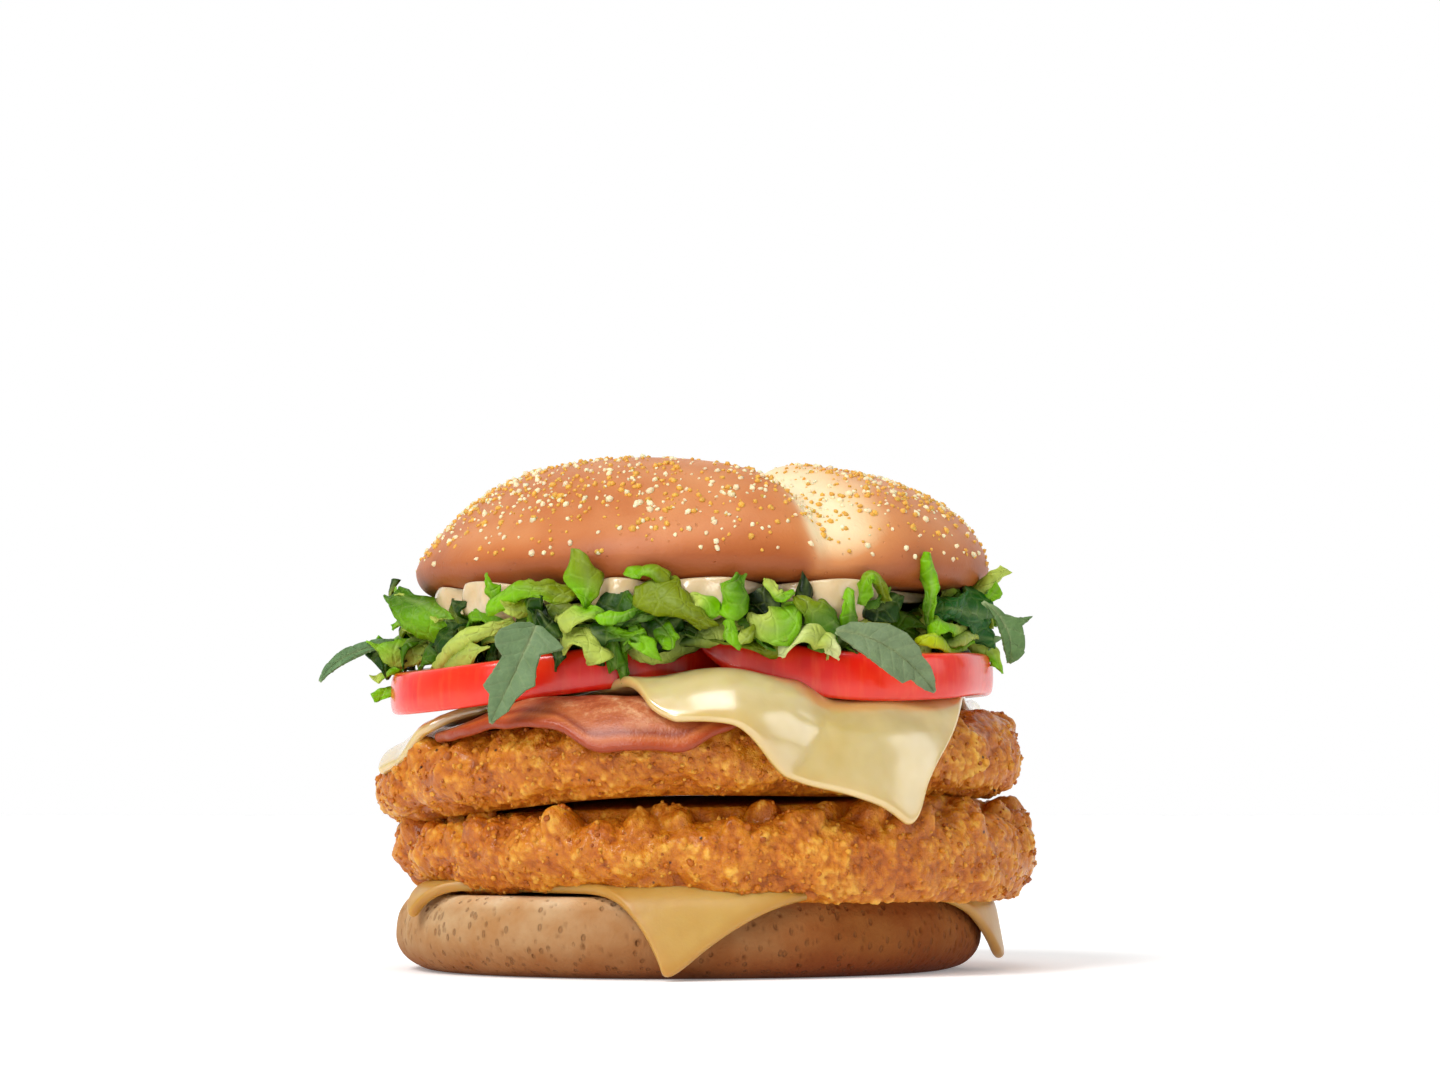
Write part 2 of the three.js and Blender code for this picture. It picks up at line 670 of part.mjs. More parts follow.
// One shred: a strip that leaves the core, swings round and droops or stands up at its end.
function shred(roll, turn) {
  const swing = mix(-0.9, 0.9, roll());
  const length = mix(12, 19, roll());
  const width = mix(4.5, 7.5, roll());
  const rise = mix(-4.5, 4.5, roll());
  const startZ = mix(56.2, 60.4, roll());
  const twist = mix(-1.4, 1.4, roll());
  const roll0 = mix(0, PI, roll());
  const middle = (u, v) => {
    const heading = turn + swing * v * 0.9;
    const out = mix(SALAD.radius - 6, SALAD.radius - 6 + length * cos(swing * 0.8), v);
    const [x, y] = polar(out, turn + (swing * length * v) / 60);
    const tilt = roll0 + twist * v;
    const across = (u - 0.5) * width * (1 - 0.45 * v * v);
    const [sx, sy] = polar(across * cos(tilt), heading + PI / 2);
    const z = startZ + rise * v * v + across * sin(tilt) * 0.7 + 0.8 * sin(7 * v + turn);
    return point(SALAD.x + x + sx, y + sy, z);
  };
  return sheet(1, 4, middle, LEAF_THICKNESS);
}

function salad(cutters) {
  const count = 15;
  const roll = dice(11);
  let shape = solid(saladCore());
  for (let i = 0; i < count; i++) {
    const strip = shred(roll, (TURN * (i + 0.7 * roll())) / count);
    shape = shape.add(solid(strip));
  }
  return cutClear(geometryOf(shape), cutters);
}

// ---------------------------------------------------------------------------------------------------
// The stack
// ---------------------------------------------------------------------------------------------------

const tomatoCutters = [tomato(LEFT_TOMATO, GAP), tomato(RIGHT_TOMATO, GAP)];
const tomatoRooms = [tomato(LEFT_TOMATO, GAP, 8), tomato(RIGHT_TOMATO, GAP, 8)];
const leafCutters = Object.values(ROCKET).map((leaf) => rocketLeaf(leaf, GAP));
const crownRoom = new THREE.CylinderGeometry(BUN_RADIUS + 1, BUN_RADIUS, 8, 32).rotateX(PI / 2);
crownRoom.translate(CROWN.x, 0, CROWN.underside - GAP + 4);

add("bun_heel", heel(), 0xb98a5c, 0.85);
add("cheese_lower", cutClear(lowerCheese(), [heel(GAP / 2)]), 0xe3b95a, 0.4);
const roundLower = [heel(GAP), lowerCheese(GAP), patty(UPPER_PATTY, GAP)];
add("patty_lower", cutClear(patty(LOWER_PATTY), roundLower), 0xc77a2e, 0.6);
add("patty_upper", cutClear(patty(UPPER_PATTY), [bacon(GAP), upperCheese(GAP)]), 0xc77a2e, 0.6);
add("bacon", cutClear(bacon(), [upperCheese(GAP / 2)]), 0xb9603f, 0.45);
add("cheese_upper", upperCheese(), 0xe8dba6, 0.35);
add("tomato_left", cutClear(tomato(LEFT_TOMATO), [upperCheese(GAP), bacon(GAP)]), 0xc8231a, 0.25);
add("tomato_right", cutClear(tomato(RIGHT_TOMATO), [tomatoCutters[0], upperCheese(GAP)]), 0xc8231a, 0.25);
add("sauce", cutClear(sauce(), [crown(GAP), ...tomatoCutters]), 0xe2cfa8, 0.3);
for (const [name, leaf] of Object.entries(ROCKET)) {
  add(name, cutClear(rocketLeaf(leaf), [...tomatoCutters, crown(GAP), sauce(GAP)]), 0x5d8049, 0.5);
}
const toppings = [...tomatoCutters, ...tomatoRooms, ...leafCutters, sauce(GAP), crownRoom];
add("salad", salad([upperCheese(GAP), bacon(GAP), ...toppings]), 0x7ba23c, 0.5);
add("bun_crown", gritty(crown()), 0xc98452, 0.55);

export default burger;
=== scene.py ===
import math

import bpy
import numpy as np
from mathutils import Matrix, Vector


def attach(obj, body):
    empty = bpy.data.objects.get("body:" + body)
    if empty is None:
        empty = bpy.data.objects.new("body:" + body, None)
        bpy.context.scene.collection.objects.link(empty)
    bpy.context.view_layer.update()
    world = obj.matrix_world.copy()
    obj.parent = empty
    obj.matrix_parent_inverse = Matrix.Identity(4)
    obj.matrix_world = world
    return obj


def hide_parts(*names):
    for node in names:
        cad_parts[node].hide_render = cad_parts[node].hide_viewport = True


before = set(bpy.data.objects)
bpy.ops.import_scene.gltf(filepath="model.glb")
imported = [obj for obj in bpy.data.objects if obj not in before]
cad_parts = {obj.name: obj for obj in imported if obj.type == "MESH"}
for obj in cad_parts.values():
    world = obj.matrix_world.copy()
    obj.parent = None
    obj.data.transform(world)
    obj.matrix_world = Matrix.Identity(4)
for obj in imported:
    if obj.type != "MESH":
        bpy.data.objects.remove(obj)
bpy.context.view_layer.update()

# ------------------------------------------------------------------------------------------------
# Camera, floor and light: a long lens low in front of the burger and a little below its middle, a
# wide white floor, a room that is white behind the burger and dimmer in front, and soft lamps.
# ------------------------------------------------------------------------------------------------

CAMERA_PLACE = (0.0057, -0.630, 0.027)
CAMERA_PITCH = math.radians(4.32)

camera = bpy.data.objects.new("camera", bpy.data.cameras.new("camera"))
camera.data.lens = 90
camera.data.sensor_width = 36
camera.data.clip_start = 0.01
camera.location = CAMERA_PLACE
camera.rotation_euler = (math.pi / 2 + CAMERA_PITCH, 0, 0)
bpy.context.scene.collection.objects.link(camera)
bpy.context.scene.camera = camera
bpy.context.scene.view_settings.view_transform = "Standard"


def srgb(red, green, blue):
    """A colour as a screen shows it (0 to 255), turned into the linear one that a shader takes."""
    screen = [channel / 255 for channel in (red, green, blue)]
    linear = [s / 12.92 if s < 0.04045 else ((s + 0.055) / 1.055) ** 2.4 for s in screen]
    return (*linear, 1)


def new_finish(name, **sockets):
    """A material with these sockets of its Principled shader set: the material and the shader."""
    finish = bpy.data.materials.new(name)
    finish.use_nodes = True
    shader = finish.node_tree.nodes["Principled BSDF"]
    for socket, value in sockets.items():
        shader.inputs[socket.replace("_", " ")].default_value = value
    return finish, shader


FLOOR_HALF = 30
floor_mesh = bpy.data.meshes.new("floor")
floor_corners = [(FLOOR_HALF * x, FLOOR_HALF * y, 0) for x, y in ((-1, -1), (1, -1), (1, 1), (-1, 1))]
floor_mesh.from_pydata(floor_corners, [], [(0, 1, 2, 3)])
floor_white, _ = new_finish("white_floor", Base_Color=srgb(254, 254, 254), Roughness=0.9,
                            Emission_Color=(1, 1, 1, 1), Emission_Strength=0.2)
floor_mesh.materials.append(floor_white)
floor = bpy.data.objects.new("floor", floor_mesh)
bpy.context.scene.collection.objects.link(floor)

ROOM_FRONT, ROOM_BACK = 0.24, 1.0
world = bpy.data.worlds.new("studio")
bpy.context.scene.world = world
world.use_nodes = True
direction = world.node_tree.nodes.new("ShaderNodeTexCoord")
axes = world.node_tree.nodes.new("ShaderNodeSeparateXYZ")
room = world.node_tree.nodes.new("ShaderNodeMapRange")
room_range = (("From Min", 0.1), ("From Max", 0.8), ("To Min", ROOM_FRONT), ("To Max", ROOM_BACK))
for socket, value in room_range:
    room.inputs[socket].default_value = value
world.node_tree.links.new(direction.outputs["Generated"], axes.inputs["Vector"])
world.node_tree.links.new(axes.outputs["Y"], room.inputs["Value"])
world.node_tree.links.new(room.outputs["Result"], world.node_tree.nodes["Background"].inputs["Color"])


def new_lamp(name, kind, place, energy, size):
    """A soft lamp that shines on the middle of the burger."""
    lamp = bpy.data.objects.new(name, bpy.data.lights.new(name, kind))
    lamp.data.energy = energy
    setattr(lamp.data, "angle" if kind == "SUN" else "size", size)
    lamp.location = place
    lamp.rotation_euler = (Vector((0, 0, 0.045)) - lamp.location).to_track_quat("-Z", "Y").to_euler()
    bpy.context.scene.collection.objects.link(lamp)


new_lamp("key_upper_left", "SUN", (-0.55, -0.6, 1.0), 1.65, math.radians(22))
new_lamp("overhead", "AREA", (0.05, -0.3, 0.85), 1.7, 0.4)
new_lamp("soft_front_left", "AREA", (-0.45, -0.8, 0.35), 2.4, 0.3)
new_lamp("edge_right", "AREA", (0.9, -0.2, 0.35), 1.3, 0.5)

# ------------------------------------------------------------------------------------------------
# Lower bun: the flat heel of a soft wheat roll, baked on its base and cut across at the top. Its
# side is pale, matt and full of small upright pores, with painted shade in them, and darker towards
# the base, partly from browning and partly painted shade near the floor.
# ------------------------------------------------------------------------------------------------

MM = 0.001
BUN_RADIUS = 50.3
HEEL_HEIGHT = 13.2
HEEL_SHOULDER = 4.6
HEEL_TOE = 7
HEEL_BELLY = 6.2
SMALL_PORES_APART, LARGE_PORES_APART = 1.15, 2.3

rng = np.random.default_rng(7)
SLOPES = rng.normal(size=(1024, 3))
SLOPES /= np.linalg.norm(SLOPES, axis=1)[:, None]
SCATTER = rng.random((1024, 3))


def ease(low, high, x):
    t = np.clip((x - low) / (high - low), 0, 1)
    return t * t * (3 - 2 * t)


def mix(a, b, t):
    return a + (b - a) * t


def bulge(turn, facing, width=0.05):
    """1 where a turn faces this way in degrees, and softly less to either side."""
    return np.exp((np.cos(turn - math.radians(facing)) - 1) / width)


def shuffle(cell):
    """One of 1024 numbers for each whole-numbered cell of space."""
    x, y, z = cell[:, 0], cell[:, 1], cell[:, 2]
    return ((x * 73856093) ^ (y * 19349663) ^ (z * 83492791)) & 1023


def grain(points, size, seed=0):
    """Smooth noise from about -1 to 1, with lumps of about this size."""
    spot = points / size + 31.7 * (seed + 1)
    cell = np.floor(spot).astype(np.int64)
    part = spot - cell
    soft = part * part * part * (part * (6 * part - 15) + 10)
    total = np.zeros(len(points))
    for corner in np.ndindex(2, 2, 2):
        step = np.array(corner)
        weight = np.where(step, soft, 1 - soft).prod(axis=1)
        total += weight * (SLOPES[shuffle(cell + step)] * (part - step)).sum(axis=1)
    return 1.6 * total


def crumb_cells(points, size, seed=0):
    """How far each point is from the nearest of scattered centres, in cells, and its number."""
    spot = points / size + 17.3 * (seed + 1)
    cell = np.floor(spot).astype(np.int64)
    nearest = np.full(len(points), 9.0)
    number = np.zeros(len(points), dtype=np.int64)
    for corner in np.ndindex(3, 3, 3):
        here = cell + np.array(corner) - 1
        key = shuffle(here)
        away = np.linalg.norm(spot - here - SCATTER[key], axis=1)
        closer = away < nearest
        nearest[closer] = away[closer]
        number[closer] = key[closer]
    return nearest, number


def waves(x, y, z, size, seed):
    """Slow lumps from five sine waves whose directions fan out by the golden angle."""
    total = 0
    for i in range(5):
        heading = 2.39996 * (i + seed)
        along = x * np.cos(heading) + y * np.sin(heading) + z * 0.9 * np.sin(1.7 * i + seed)
        total = total + np.sin(math.tau * along * (0.8 + 0.13 * i) / size + 1.3 * i * seed)
    return total / 3


def ring_faces(rows, columns, first=0):
    """The quads between closed rings of points, listed from the top ring down."""
    row, column = np.meshgrid(np.arange(rows - 1), np.arange(columns), indexing="ij")
    a = row * columns + column
    b = row * columns + (column + 1) % columns
    return first + np.stack([a, a + columns, b + columns, b], axis=-1).reshape(-1, 4)


def closed_skin(rings):
    """The points and faces of rings (rows, columns, 3) closed by a point in the middle of each end."""
    rows, columns = rings.shape[:2]
    ends = np.stack([rings[0].mean(axis=0), rings[-1].mean(axis=0)])
    points = np.concatenate([rings.reshape(-1, 3), ends])
    i = np.arange(columns)
    j = (i + 1) % columns
    top, bottom = rows * columns, rows * columns + 1
    last = (rows - 1) * columns
    lid = np.stack([np.full(columns, top), i, j], axis=-1)
    base = np.stack([np.full(columns, bottom), last + j, last + i], axis=-1)
    return points, [lid, base, ring_faces(rows, columns)]


def new_piece(name, points, faces, finish, crisp=None, **marks):
    """An object from points in millimetres, with values or colours painted on its points. Faces are
    shaded smooth, apart from those marked crisp."""
    mesh = bpy.data.meshes.new(name)
    mesh.vertices.add(len(points))
    mesh.vertices.foreach_set("co", (np.asarray(points) * MM).ravel())
    sizes = np.concatenate([np.full(len(part), part.shape[1]) for part in faces])
    corners = np.concatenate([part.ravel() for part in faces])
    mesh.loops.add(len(corners))
    mesh.loops.foreach_set("vertex_index", corners)
    mesh.polygons.add(len(sizes))
    mesh.polygons.foreach_set("loop_start", np.concatenate([[0], np.cumsum(sizes)[:-1]]))
    mesh.polygons.foreach_set("use_smooth", np.ones(len(sizes), dtype=bool) if crisp is None else ~crisp)
    mesh.update(calc_edges=True)
    for mark, values in marks.items():
        if values.ndim == 1:
            mesh.attributes.new(mark, "FLOAT", "POINT").data.foreach_set("value", values)
        else:
            colours = np.concatenate([values, np.ones((len(values), 1))], axis=1)
            mesh.attributes.new(mark, "FLOAT_COLOR", "POINT").data.foreach_set("color", colours.ravel())
    mesh.materials.append(finish)
    piece = bpy.data.objects.new(name, mesh)
    bpy.context.scene.collection.objects.link(piece)
    return piece


def painted(finish, mark, output="Fac"):
    """The socket that reads a value or colour painted on the points."""
    node = finish.node_tree.nodes.new("ShaderNodeAttribute")
    node.attribute_name = mark
    return node.outputs[output]


def mottle(finish, size, detail=3.0, roughness=0.55, stretch=None):
    """The socket of a noise whose lumps are about this size in millimetres."""
    tree = finish.node_tree
    noise = tree.nodes.new("ShaderNodeTexNoise")
    noise.inputs["Scale"].default_value = 1 / (size * MM)
    noise.inputs["Detail"].default_value = detail
    noise.inputs["Roughness"].default_value = roughness
    place = tree.nodes.new("ShaderNodeTexCoord")
    if stretch is None:
        tree.links.new(place.outputs["Object"], noise.inputs["Vector"])
    else:
        mapping = tree.nodes.new("ShaderNodeMapping")
        mapping.inputs["Scale"].default_value = stretch
        tree.links.new(place.outputs["Object"], mapping.inputs["Vector"])
        tree.links.new(mapping.outputs["Vector"], noise.inputs["Vector"])
    return noise.outputs["Fac"]


def dots(finish, apart, radius, share, stretch=(1, 1, 1)):
    """The socket of round dots, 1 inside each: their spacing and radius in millimetres, and the share
    of places that has one."""
    tree = finish.node_tree
    place = tree.nodes.new("ShaderNodeTexCoord")
    mapping = tree.nodes.new("ShaderNodeMapping")
    mapping.inputs["Scale"].default_value = stretch
    cells = tree.nodes.new("ShaderNodeTexVoronoi")
    cells.inputs["Scale"].default_value = 1 / (apart * MM)
    pick = tree.nodes.new("ShaderNodeSeparateColor")
    both = tree.nodes.new("ShaderNodeMath")
    both.operation = "MULTIPLY"
    tree.links.new(place.outputs["Object"], mapping.inputs["Vector"])
    tree.links.new(mapping.outputs["Vector"], cells.inputs["Vector"])
    tree.links.new(cells.outputs["Color"], pick.inputs["Color"])
    near = level(finish, cells.outputs["Distance"], 0.6 * radius / apart, 1.2 * radius / apart, 1, 0)
    tree.links.new(near, both.inputs[0])
    tree.links.new(level(finish, pick.outputs["Red"], share - 0.02, share + 0.02, 1, 0), both.inputs[1])
    return both.outputs["Value"]


def shades(finish, factor, *stops):
    """The colour at a factor between stops: (position, colour as a screen shows it)."""
    ramp = finish.node_tree.nodes.new("ShaderNodeValToRGB")
    elements = ramp.color_ramp.elements
    while len(elements) < len(stops):
        elements.new(0.5)
    for element, (position, colour) in zip(elements, stops):
        element.position = position
        element.color = srgb(*colour)
    finish.node_tree.links.new(factor, ramp.inputs["Fac"])
    return ramp.outputs["Color"]


def level(finish, factor, low, high, to_low=0.0, to_high=1.0):
    """A factor's range from low to high, spread over another range."""
    node = finish.node_tree.nodes.new("ShaderNodeMapRange")
    finish.node_tree.links.new(factor, node.inputs["Value"])
    for socket, value in (("From Min", low), ("From Max", high), ("To Min", to_low), ("To Max", to_high)):
        node.inputs[socket].default_value = value
    return node.outputs["Result"]


COLOUR_A, COLOUR_B = 6, 7  # the Mix node's inputs for colours; its others take numbers and vectors


def blended(finish, factor, first, second, how="MIX"):
    """Two colours, as sockets or values, blended by a factor."""
    tree = finish.node_tree
    node = tree.nodes.new("ShaderNodeMix")
    node.data_type = "RGBA"
    node.blend_type = how
    for place, value in (("Factor", factor), (COLOUR_A, first), (COLOUR_B, second)):
        if isinstance(value, bpy.types.NodeSocket):
            tree.links.new(value, node.inputs[place])
        else:
            node.inputs[place].default_value = value
    return next(output for output in node.outputs if output.type == "RGBA")


def tinted(finish, factor, tone, tint, how="MULTIPLY"):
    """A tone with a tint multiplied into it or added to it, as far as a factor says."""
    return blended(finish, factor, tone, blended(finish, 1.0, tone, tint, how))


def relief(finish, shader, *layers):
    """Fine bumps on a shader's surface: each layer is (height socket, depth in millimetres)."""
    tree = finish.node_tree
    before = None
    for height, depth in layers:
        bump = tree.nodes.new("ShaderNodeBump")
        bump.inputs["Distance"].default_value = depth * MM
        tree.links.new(height, bump.inputs["Height"])
        if before is not None:
            tree.links.new(before, bump.inputs["Normal"])
        before = bump.outputs["Normal"]
    tree.links.new(before, shader.inputs["Normal"])


def colour_from(finish, shader, colour):
    finish.node_tree.links.new(colour, shader.inputs["Base Color"])


def round_turns(count):
    return np.linspace(0, math.tau, count, endpoint=False)


def polar_rings(centre_x, radius, height, turns):
    """Rings of points from radii and heights (rows, columns)."""
    return np.stack(
        [centre_x + radius * np.cos(turns), radius * np.sin(turns), np.broadcast_to(height, radius.shape)],
        axis=-1,
    )


def heel_radius(turn):
    """The lower bun's radius where it is widest, a little uneven."""
    return BUN_RADIUS + 0.5 * np.sin(2 * turn + 0.9) + 0.35 * np.sin(3 * turn + 2.2)


# Its side: a wide shoulder up to the cut face, and a rounder toe down to the base.
turns = round_turns(1050)
lift = np.radians(np.linspace(90, 0, 34))
drop = np.radians(np.linspace(0, 90, 27))[1:]
inward = np.concatenate([HEEL_SHOULDER * (1 - np.cos(lift)), HEEL_TOE * (1 - np.cos(drop))])
height = np.concatenate([
    HEEL_BELLY + (HEEL_HEIGHT - HEEL_BELLY) * np.sin(lift),
    HEEL_BELLY * (1 - np.sin(drop)),
])
tilt = np.concatenate([lift, -drop])
rings = polar_rings(0, heel_radius(turns) - inward[:, None], height[:, None], turns)
out = np.stack([np.cos(turns) * np.cos(tilt)[:, None], np.sin(turns) * np.cos(tilt)[:, None],
                np.broadcast_to(np.sin(tilt)[:, None], rings.shape[:2])], axis=-1)
flat_points = rings.reshape(-1, 3)
upright = flat_points * (1, 1, 0.5)
near_small, _ = crumb_cells(upright, SMALL_PORES_APART, 1)
near_large, key_large = crumb_cells(upright, LARGE_PORES_APART, 2)
side = np.repeat(np.cos(tilt), len(turns))
pores = 0.3 * ease(0.34, 0.1, near_small) * ease(-0.3, 0.25, grain(flat_points, 5, 3))
pores += 0.55 * ease(0.2, 0.05, near_large) * (key_large % 3 > 0)
swell = 0.22 * grain(flat_points, 11, 5) + 0.1 * grain(flat_points, 3.5, 6)
push = (swell - pores) * ease(0.1, 0.6, side)
rings = rings + out * push.reshape(rings.shape[:2])[..., None]
rings[-1, :, 2] = 0
cut_face = [rings[0] * (share, share, 1) for share in (0.3, 0.7, 0.93)]
rings = np.concatenate([np.stack(cut_face), rings])
points, faces = closed_skin(rings)
pit = np.concatenate([np.zeros(len(cut_face) * len(turns)), pores, np.zeros(2)])

bread, shader = new_finish("bun_heel_bread", Roughness=0.86, Specular_IOR_Level=0.2,
                           Subsurface_Weight=0.1, Subsurface_Scale=0.002, Subsurface_Radius=(1, 0.6, 0.35))
# Darker towards the base: partly the browned base, partly painted shade near the floor.
height_mark = level(bread, painted(bread, "height"), 0.0, 13.0)
tone = shades(bread, height_mark, (0.0, (118, 68, 28)), (0.14, (152, 102, 58)),
              (0.45, (176, 138, 96)), (0.85, (192, 158, 116)), (1.0, (232, 208, 170)))
patches = level(bread, mottle(bread, 7), 0.35, 0.65)
tone = tinted(bread, patches, tone, srgb(236, 214, 188))
# Painted shade: the pits in the side are painted darker.
tone = blended(bread, level(bread, painted(bread, "pit"), 0.0, 0.4, 0.0, 0.5), tone, srgb(120, 76, 40))
# Painted shade with browning: the right and back of the side are tinted browner.
tone = tinted(bread, painted(bread, "browned"), tone, srgb(204, 156, 100))
fine_pores = dots(bread, 1.5, 0.36, 0.85, (1, 1, 0.6))
wide_pores = dots(bread, 3.1, 0.5, 0.35, (1, 1, 0.55))
# Painted shade in the fine and wide pores, which are painted darker.
tone = blended(bread, level(bread, fine_pores, 0, 1, 0, 0.38), tone, srgb(112, 66, 28))
tone = blended(bread, level(bread, wide_pores, 0, 1, 0, 0.3), tone, srgb(96, 56, 24))
colour_from(bread, shader, tone)
relief(bread, shader, (mottle(bread, 0.5), 0.12), (fine_pores, -0.3), (wide_pores, -0.35),
       (mottle(bread, 1.6, stretch=(1, 1, 0.5)), 0.2))

# Browner to the right and behind: partly the oven's browning, partly painted shade on the side away from the
# key lamp.
browned = ease(-48, 24, points[:, 0] + 0.3 * points[:, 1] + 8 * grain(points, 22, 8))
bun_heel = new_piece("heel_bread", points, faces, bread,
                     pit=pit, height=points[:, 2].copy(), browned=browned)
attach(bun_heel, "root")
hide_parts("bun_heel")

# ------------------------------------------------------------------------------------------------
# Lower cheese: a square slice of yellow processed cheese, which warmth has made limp, so that its
# corners bend over the edge of the heel and hang.
# ------------------------------------------------------------------------------------------------

CHEESE_THICKNESS = 1.8
DRAPE_GAP = 0.6


def drape(carrier, x, y, lift_by):
    """Where points of a flat sheet lie once it has bent over the edge of what carries it."""
    reach = np.hypot(x, y)
    turn = np.arctan2(y, x)
    start = carrier["outline"](turn) - carrier["shoulder"]
    top = carrier["top"](turn, np.minimum(reach / start, 1))
    bend = carrier["shoulder"] + lift_by
    past = np.maximum(reach - start, 0)
    angle = np.minimum(past / bend, carrier["steepest"])
    rest = past - angle * bend
    out = np.minimum(reach, start) + bend * np.sin(angle) + rest * np.cos(angle)
    z = top + lift_by - bend * (1 - np.cos(angle)) - rest * np.sin(angle)
    return np.stack([carrier["x"] + out * np.cos(turn), out * np.sin(turn), z], axis=-1)


HEEL_TOP = {
    "x": 0,
    "shoulder": HEEL_SHOULDER,
    "outline": lambda turn: heel_radius(turn) + 0.35,
    "top": lambda turn, share: np.full_like(turn, HEEL_HEIGHT),
    "steepest": math.radians(80),
}


def slice_outline(corners, bow, count):
    """The outline of a slice: corners (reach, degrees), rounded, and how far each side bows, and where."""
    rounding, sides = 0.07, len(corners)
    at = [np.array([reach * math.cos(math.radians(way)), reach * math.sin(math.radians(way))])
          for reach, way in corners]

    def along(k, f):
        a, b = at[k % sides], at[(k + 1) % sides]
        outwards = np.array([b[1] - a[1], a[0] - b[0]]) / np.linalg.norm(b - a)
        amount, peak = bow[k % sides]
        g = f ** (math.log(0.5) / math.log(peak)) if peak <= 0.5 else 1 - (1 - f) ** (
            math.log(0.5) / math.log(1 - peak))
        return mix(a, b, f) + outwards * 4 * g * (1 - g) * amount

    outline = []
    for t in np.linspace(0, sides, count, endpoint=False):
        k, f = int(t), t - int(t)
        if rounding <= f <= 1 - rounding:
            outline.append(along(k, f))
            continue
        corner = k if f < rounding else k + 1
        before, after = along(corner + sides - 1, 1 - rounding), along(corner, rounding)
        s = 0.5 + 0.5 * f / rounding if f < rounding else 0.5 * (f - 1 + rounding) / rounding
        outline.append(mix(mix(before, at[corner % sides], s), mix(at[corner % sides], after, s), s))
    return np.array(outline)


def draped_slab(flat, place, thickness, rows=46):
    """A thin slab with rounded edges over a flat outline; place(x, y) says where it comes to lie."""
    reach = np.linalg.norm(flat, axis=1)
    edge = thickness / 2
    rim = 1 - (edge / reach)[None, :] * (1 - np.sin(np.linspace(0, math.pi / 2, 7))[:, None])
    inner = np.linspace(0.02, 1, rows)[:-1, None] * rim[0][None, :]
    shares = np.concatenate([inner, rim])
    from_edge = (1 - shares) * reach[None, :]
    half = edge * np.sqrt(1 - (1 - np.minimum(from_edge / edge, 1)) ** 2)
    x, y = shares * flat[:, 0], shares * flat[:, 1]
    middle = place(x, y)
    around = np.roll(middle, -1, axis=1) - np.roll(middle, 1, axis=1)
    outwards = np.gradient(middle, axis=0)
    up = np.cross(outwards, around)
    up /= np.linalg.norm(up, axis=-1)[..., None]
    upper = middle + up * half[..., None]
    lower = (middle - up * half[..., None])[-2::-1]
    return np.concatenate([upper, lower]), np.concatenate([from_edge, from_edge[-2::-1]])


def lower_slice(x, y):
    ripple = 0.35 * ease(40, 60, np.hypot(x, y)) * np.sin(5 * np.arctan2(y, x) + 1.0)
    return drape(HEEL_TOP, x, y, DRAPE_GAP + CHEESE_THICKNESS / 2 + ripple)


def patchy(finish, size, first, second, high=0.65):
    """A colour that drifts between two, in patches of about this size in millimetres."""
    return blended(finish, level(finish, mottle(finish, size), 0.35, high), srgb(*first), srgb(*second))


LOWER_CORNERS = [(64.2, -93.2), (65.2, -4.5), (58.5, 86), (57, 210), (46.6, 238)]
LOWER_BOW = [(2.6, 0.72), (-1, 0.5), (0, 0.5), (-4.3, 0.6), (-3.8, 0.5)]
rings, from_edge = draped_slab(
    slice_outline(LOWER_CORNERS, LOWER_BOW, 480), lower_slice, CHEESE_THICKNESS)
points, faces = closed_skin(rings)
edge_mark = np.concatenate([from_edge.ravel(), [50, 50]])

yellow_cheese, shader = new_finish(
    "yellow_cheese", Roughness=0.38, Specular_IOR_Level=0.4, Subsurface_Weight=0.55,
    Subsurface_Scale=0.004, Subsurface_Radius=(1, 0.62, 0.22), Coat_Weight=0.12, Coat_Roughness=0.3)
tone = patchy(yellow_cheese, 14, (180, 136, 58), (194, 156, 82))
rim = level(yellow_cheese, painted(yellow_cheese, "from_edge"), 0.0, 2.5, 0.45, 0.0)
colour_from(yellow_cheese, shader, blended(yellow_cheese, rim, tone, srgb(166, 114, 32)))
relief(yellow_cheese, shader, (mottle(yellow_cheese, 3), 0.1), (mottle(yellow_cheese, 0.4), 0.015))

cheese_lower = new_piece("cheese_slice_lower", points, faces, yellow_cheese, from_edge=edge_mark)
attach(cheese_lower, "root")
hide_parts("cheese_lower")

# ------------------------------------------------------------------------------------------------
# Breaded chicken patties: two flat cakes of chicken, dipped in batter and crumb with black pepper
# and fried. The rim is craggy, its upper edge stands up in teeth, and fat glints on it.
# ------------------------------------------------------------------------------------------------

PATTY_EDGE = 8.4


def left_drop(turn):
    """How far round to the left a turn is, 1 at the left end."""
    return np.maximum(0, -np.cos(turn)) ** 1.3


# Each patty: where its middle is, its length and depth, how high the middles of its flat faces lie
# (floor, crest), how far the teeth of its upper edge stand up, how far its rim sinks (above, below),
# a hump (height, the way it faces), how far its left end is cut under, how full its underside is (in
# front, at the ends), and how high its rim begins above and below, all round (brow, chin).
LOWER_PATTY = {
    "x": 5, "length": 110.8, "depth": 103, "floor": 16.1, "crest": 29.85, "seed": 3,
    "teeth": 2.7, "hollow": (0.7, 0), "hump": (1.4, -42), "undercut": 4.2, "full": (0.4, 0.65),
    "brow": lambda turn: 27.8 + 0.9 * abs(np.cos(turn)) - 2.4 * left_drop(turn),
    "chin": lambda turn: 12.6 - 0.5 * np.cos(turn) + 1.2 * bulge(turn, -122),
}
UPPER_PATTY = {
    "x": 1.6, "length": 110.8, "depth": 104, "floor": 30.15, "crest": 43.8, "seed": 8,
    "teeth": 0.7, "hollow": (0, 0.3), "hump": (1.6, -140), "undercut": 0, "full": (0.85, 0.85),
    "brow": lambda turn: 43.4 + 0.6 * np.cos(turn) - 6.3 * left_drop(turn),
    "chin": lambda turn: 29.7 - 0.4 * abs(np.cos(turn)) - 4.4 * left_drop(turn) ** 1.5,
}


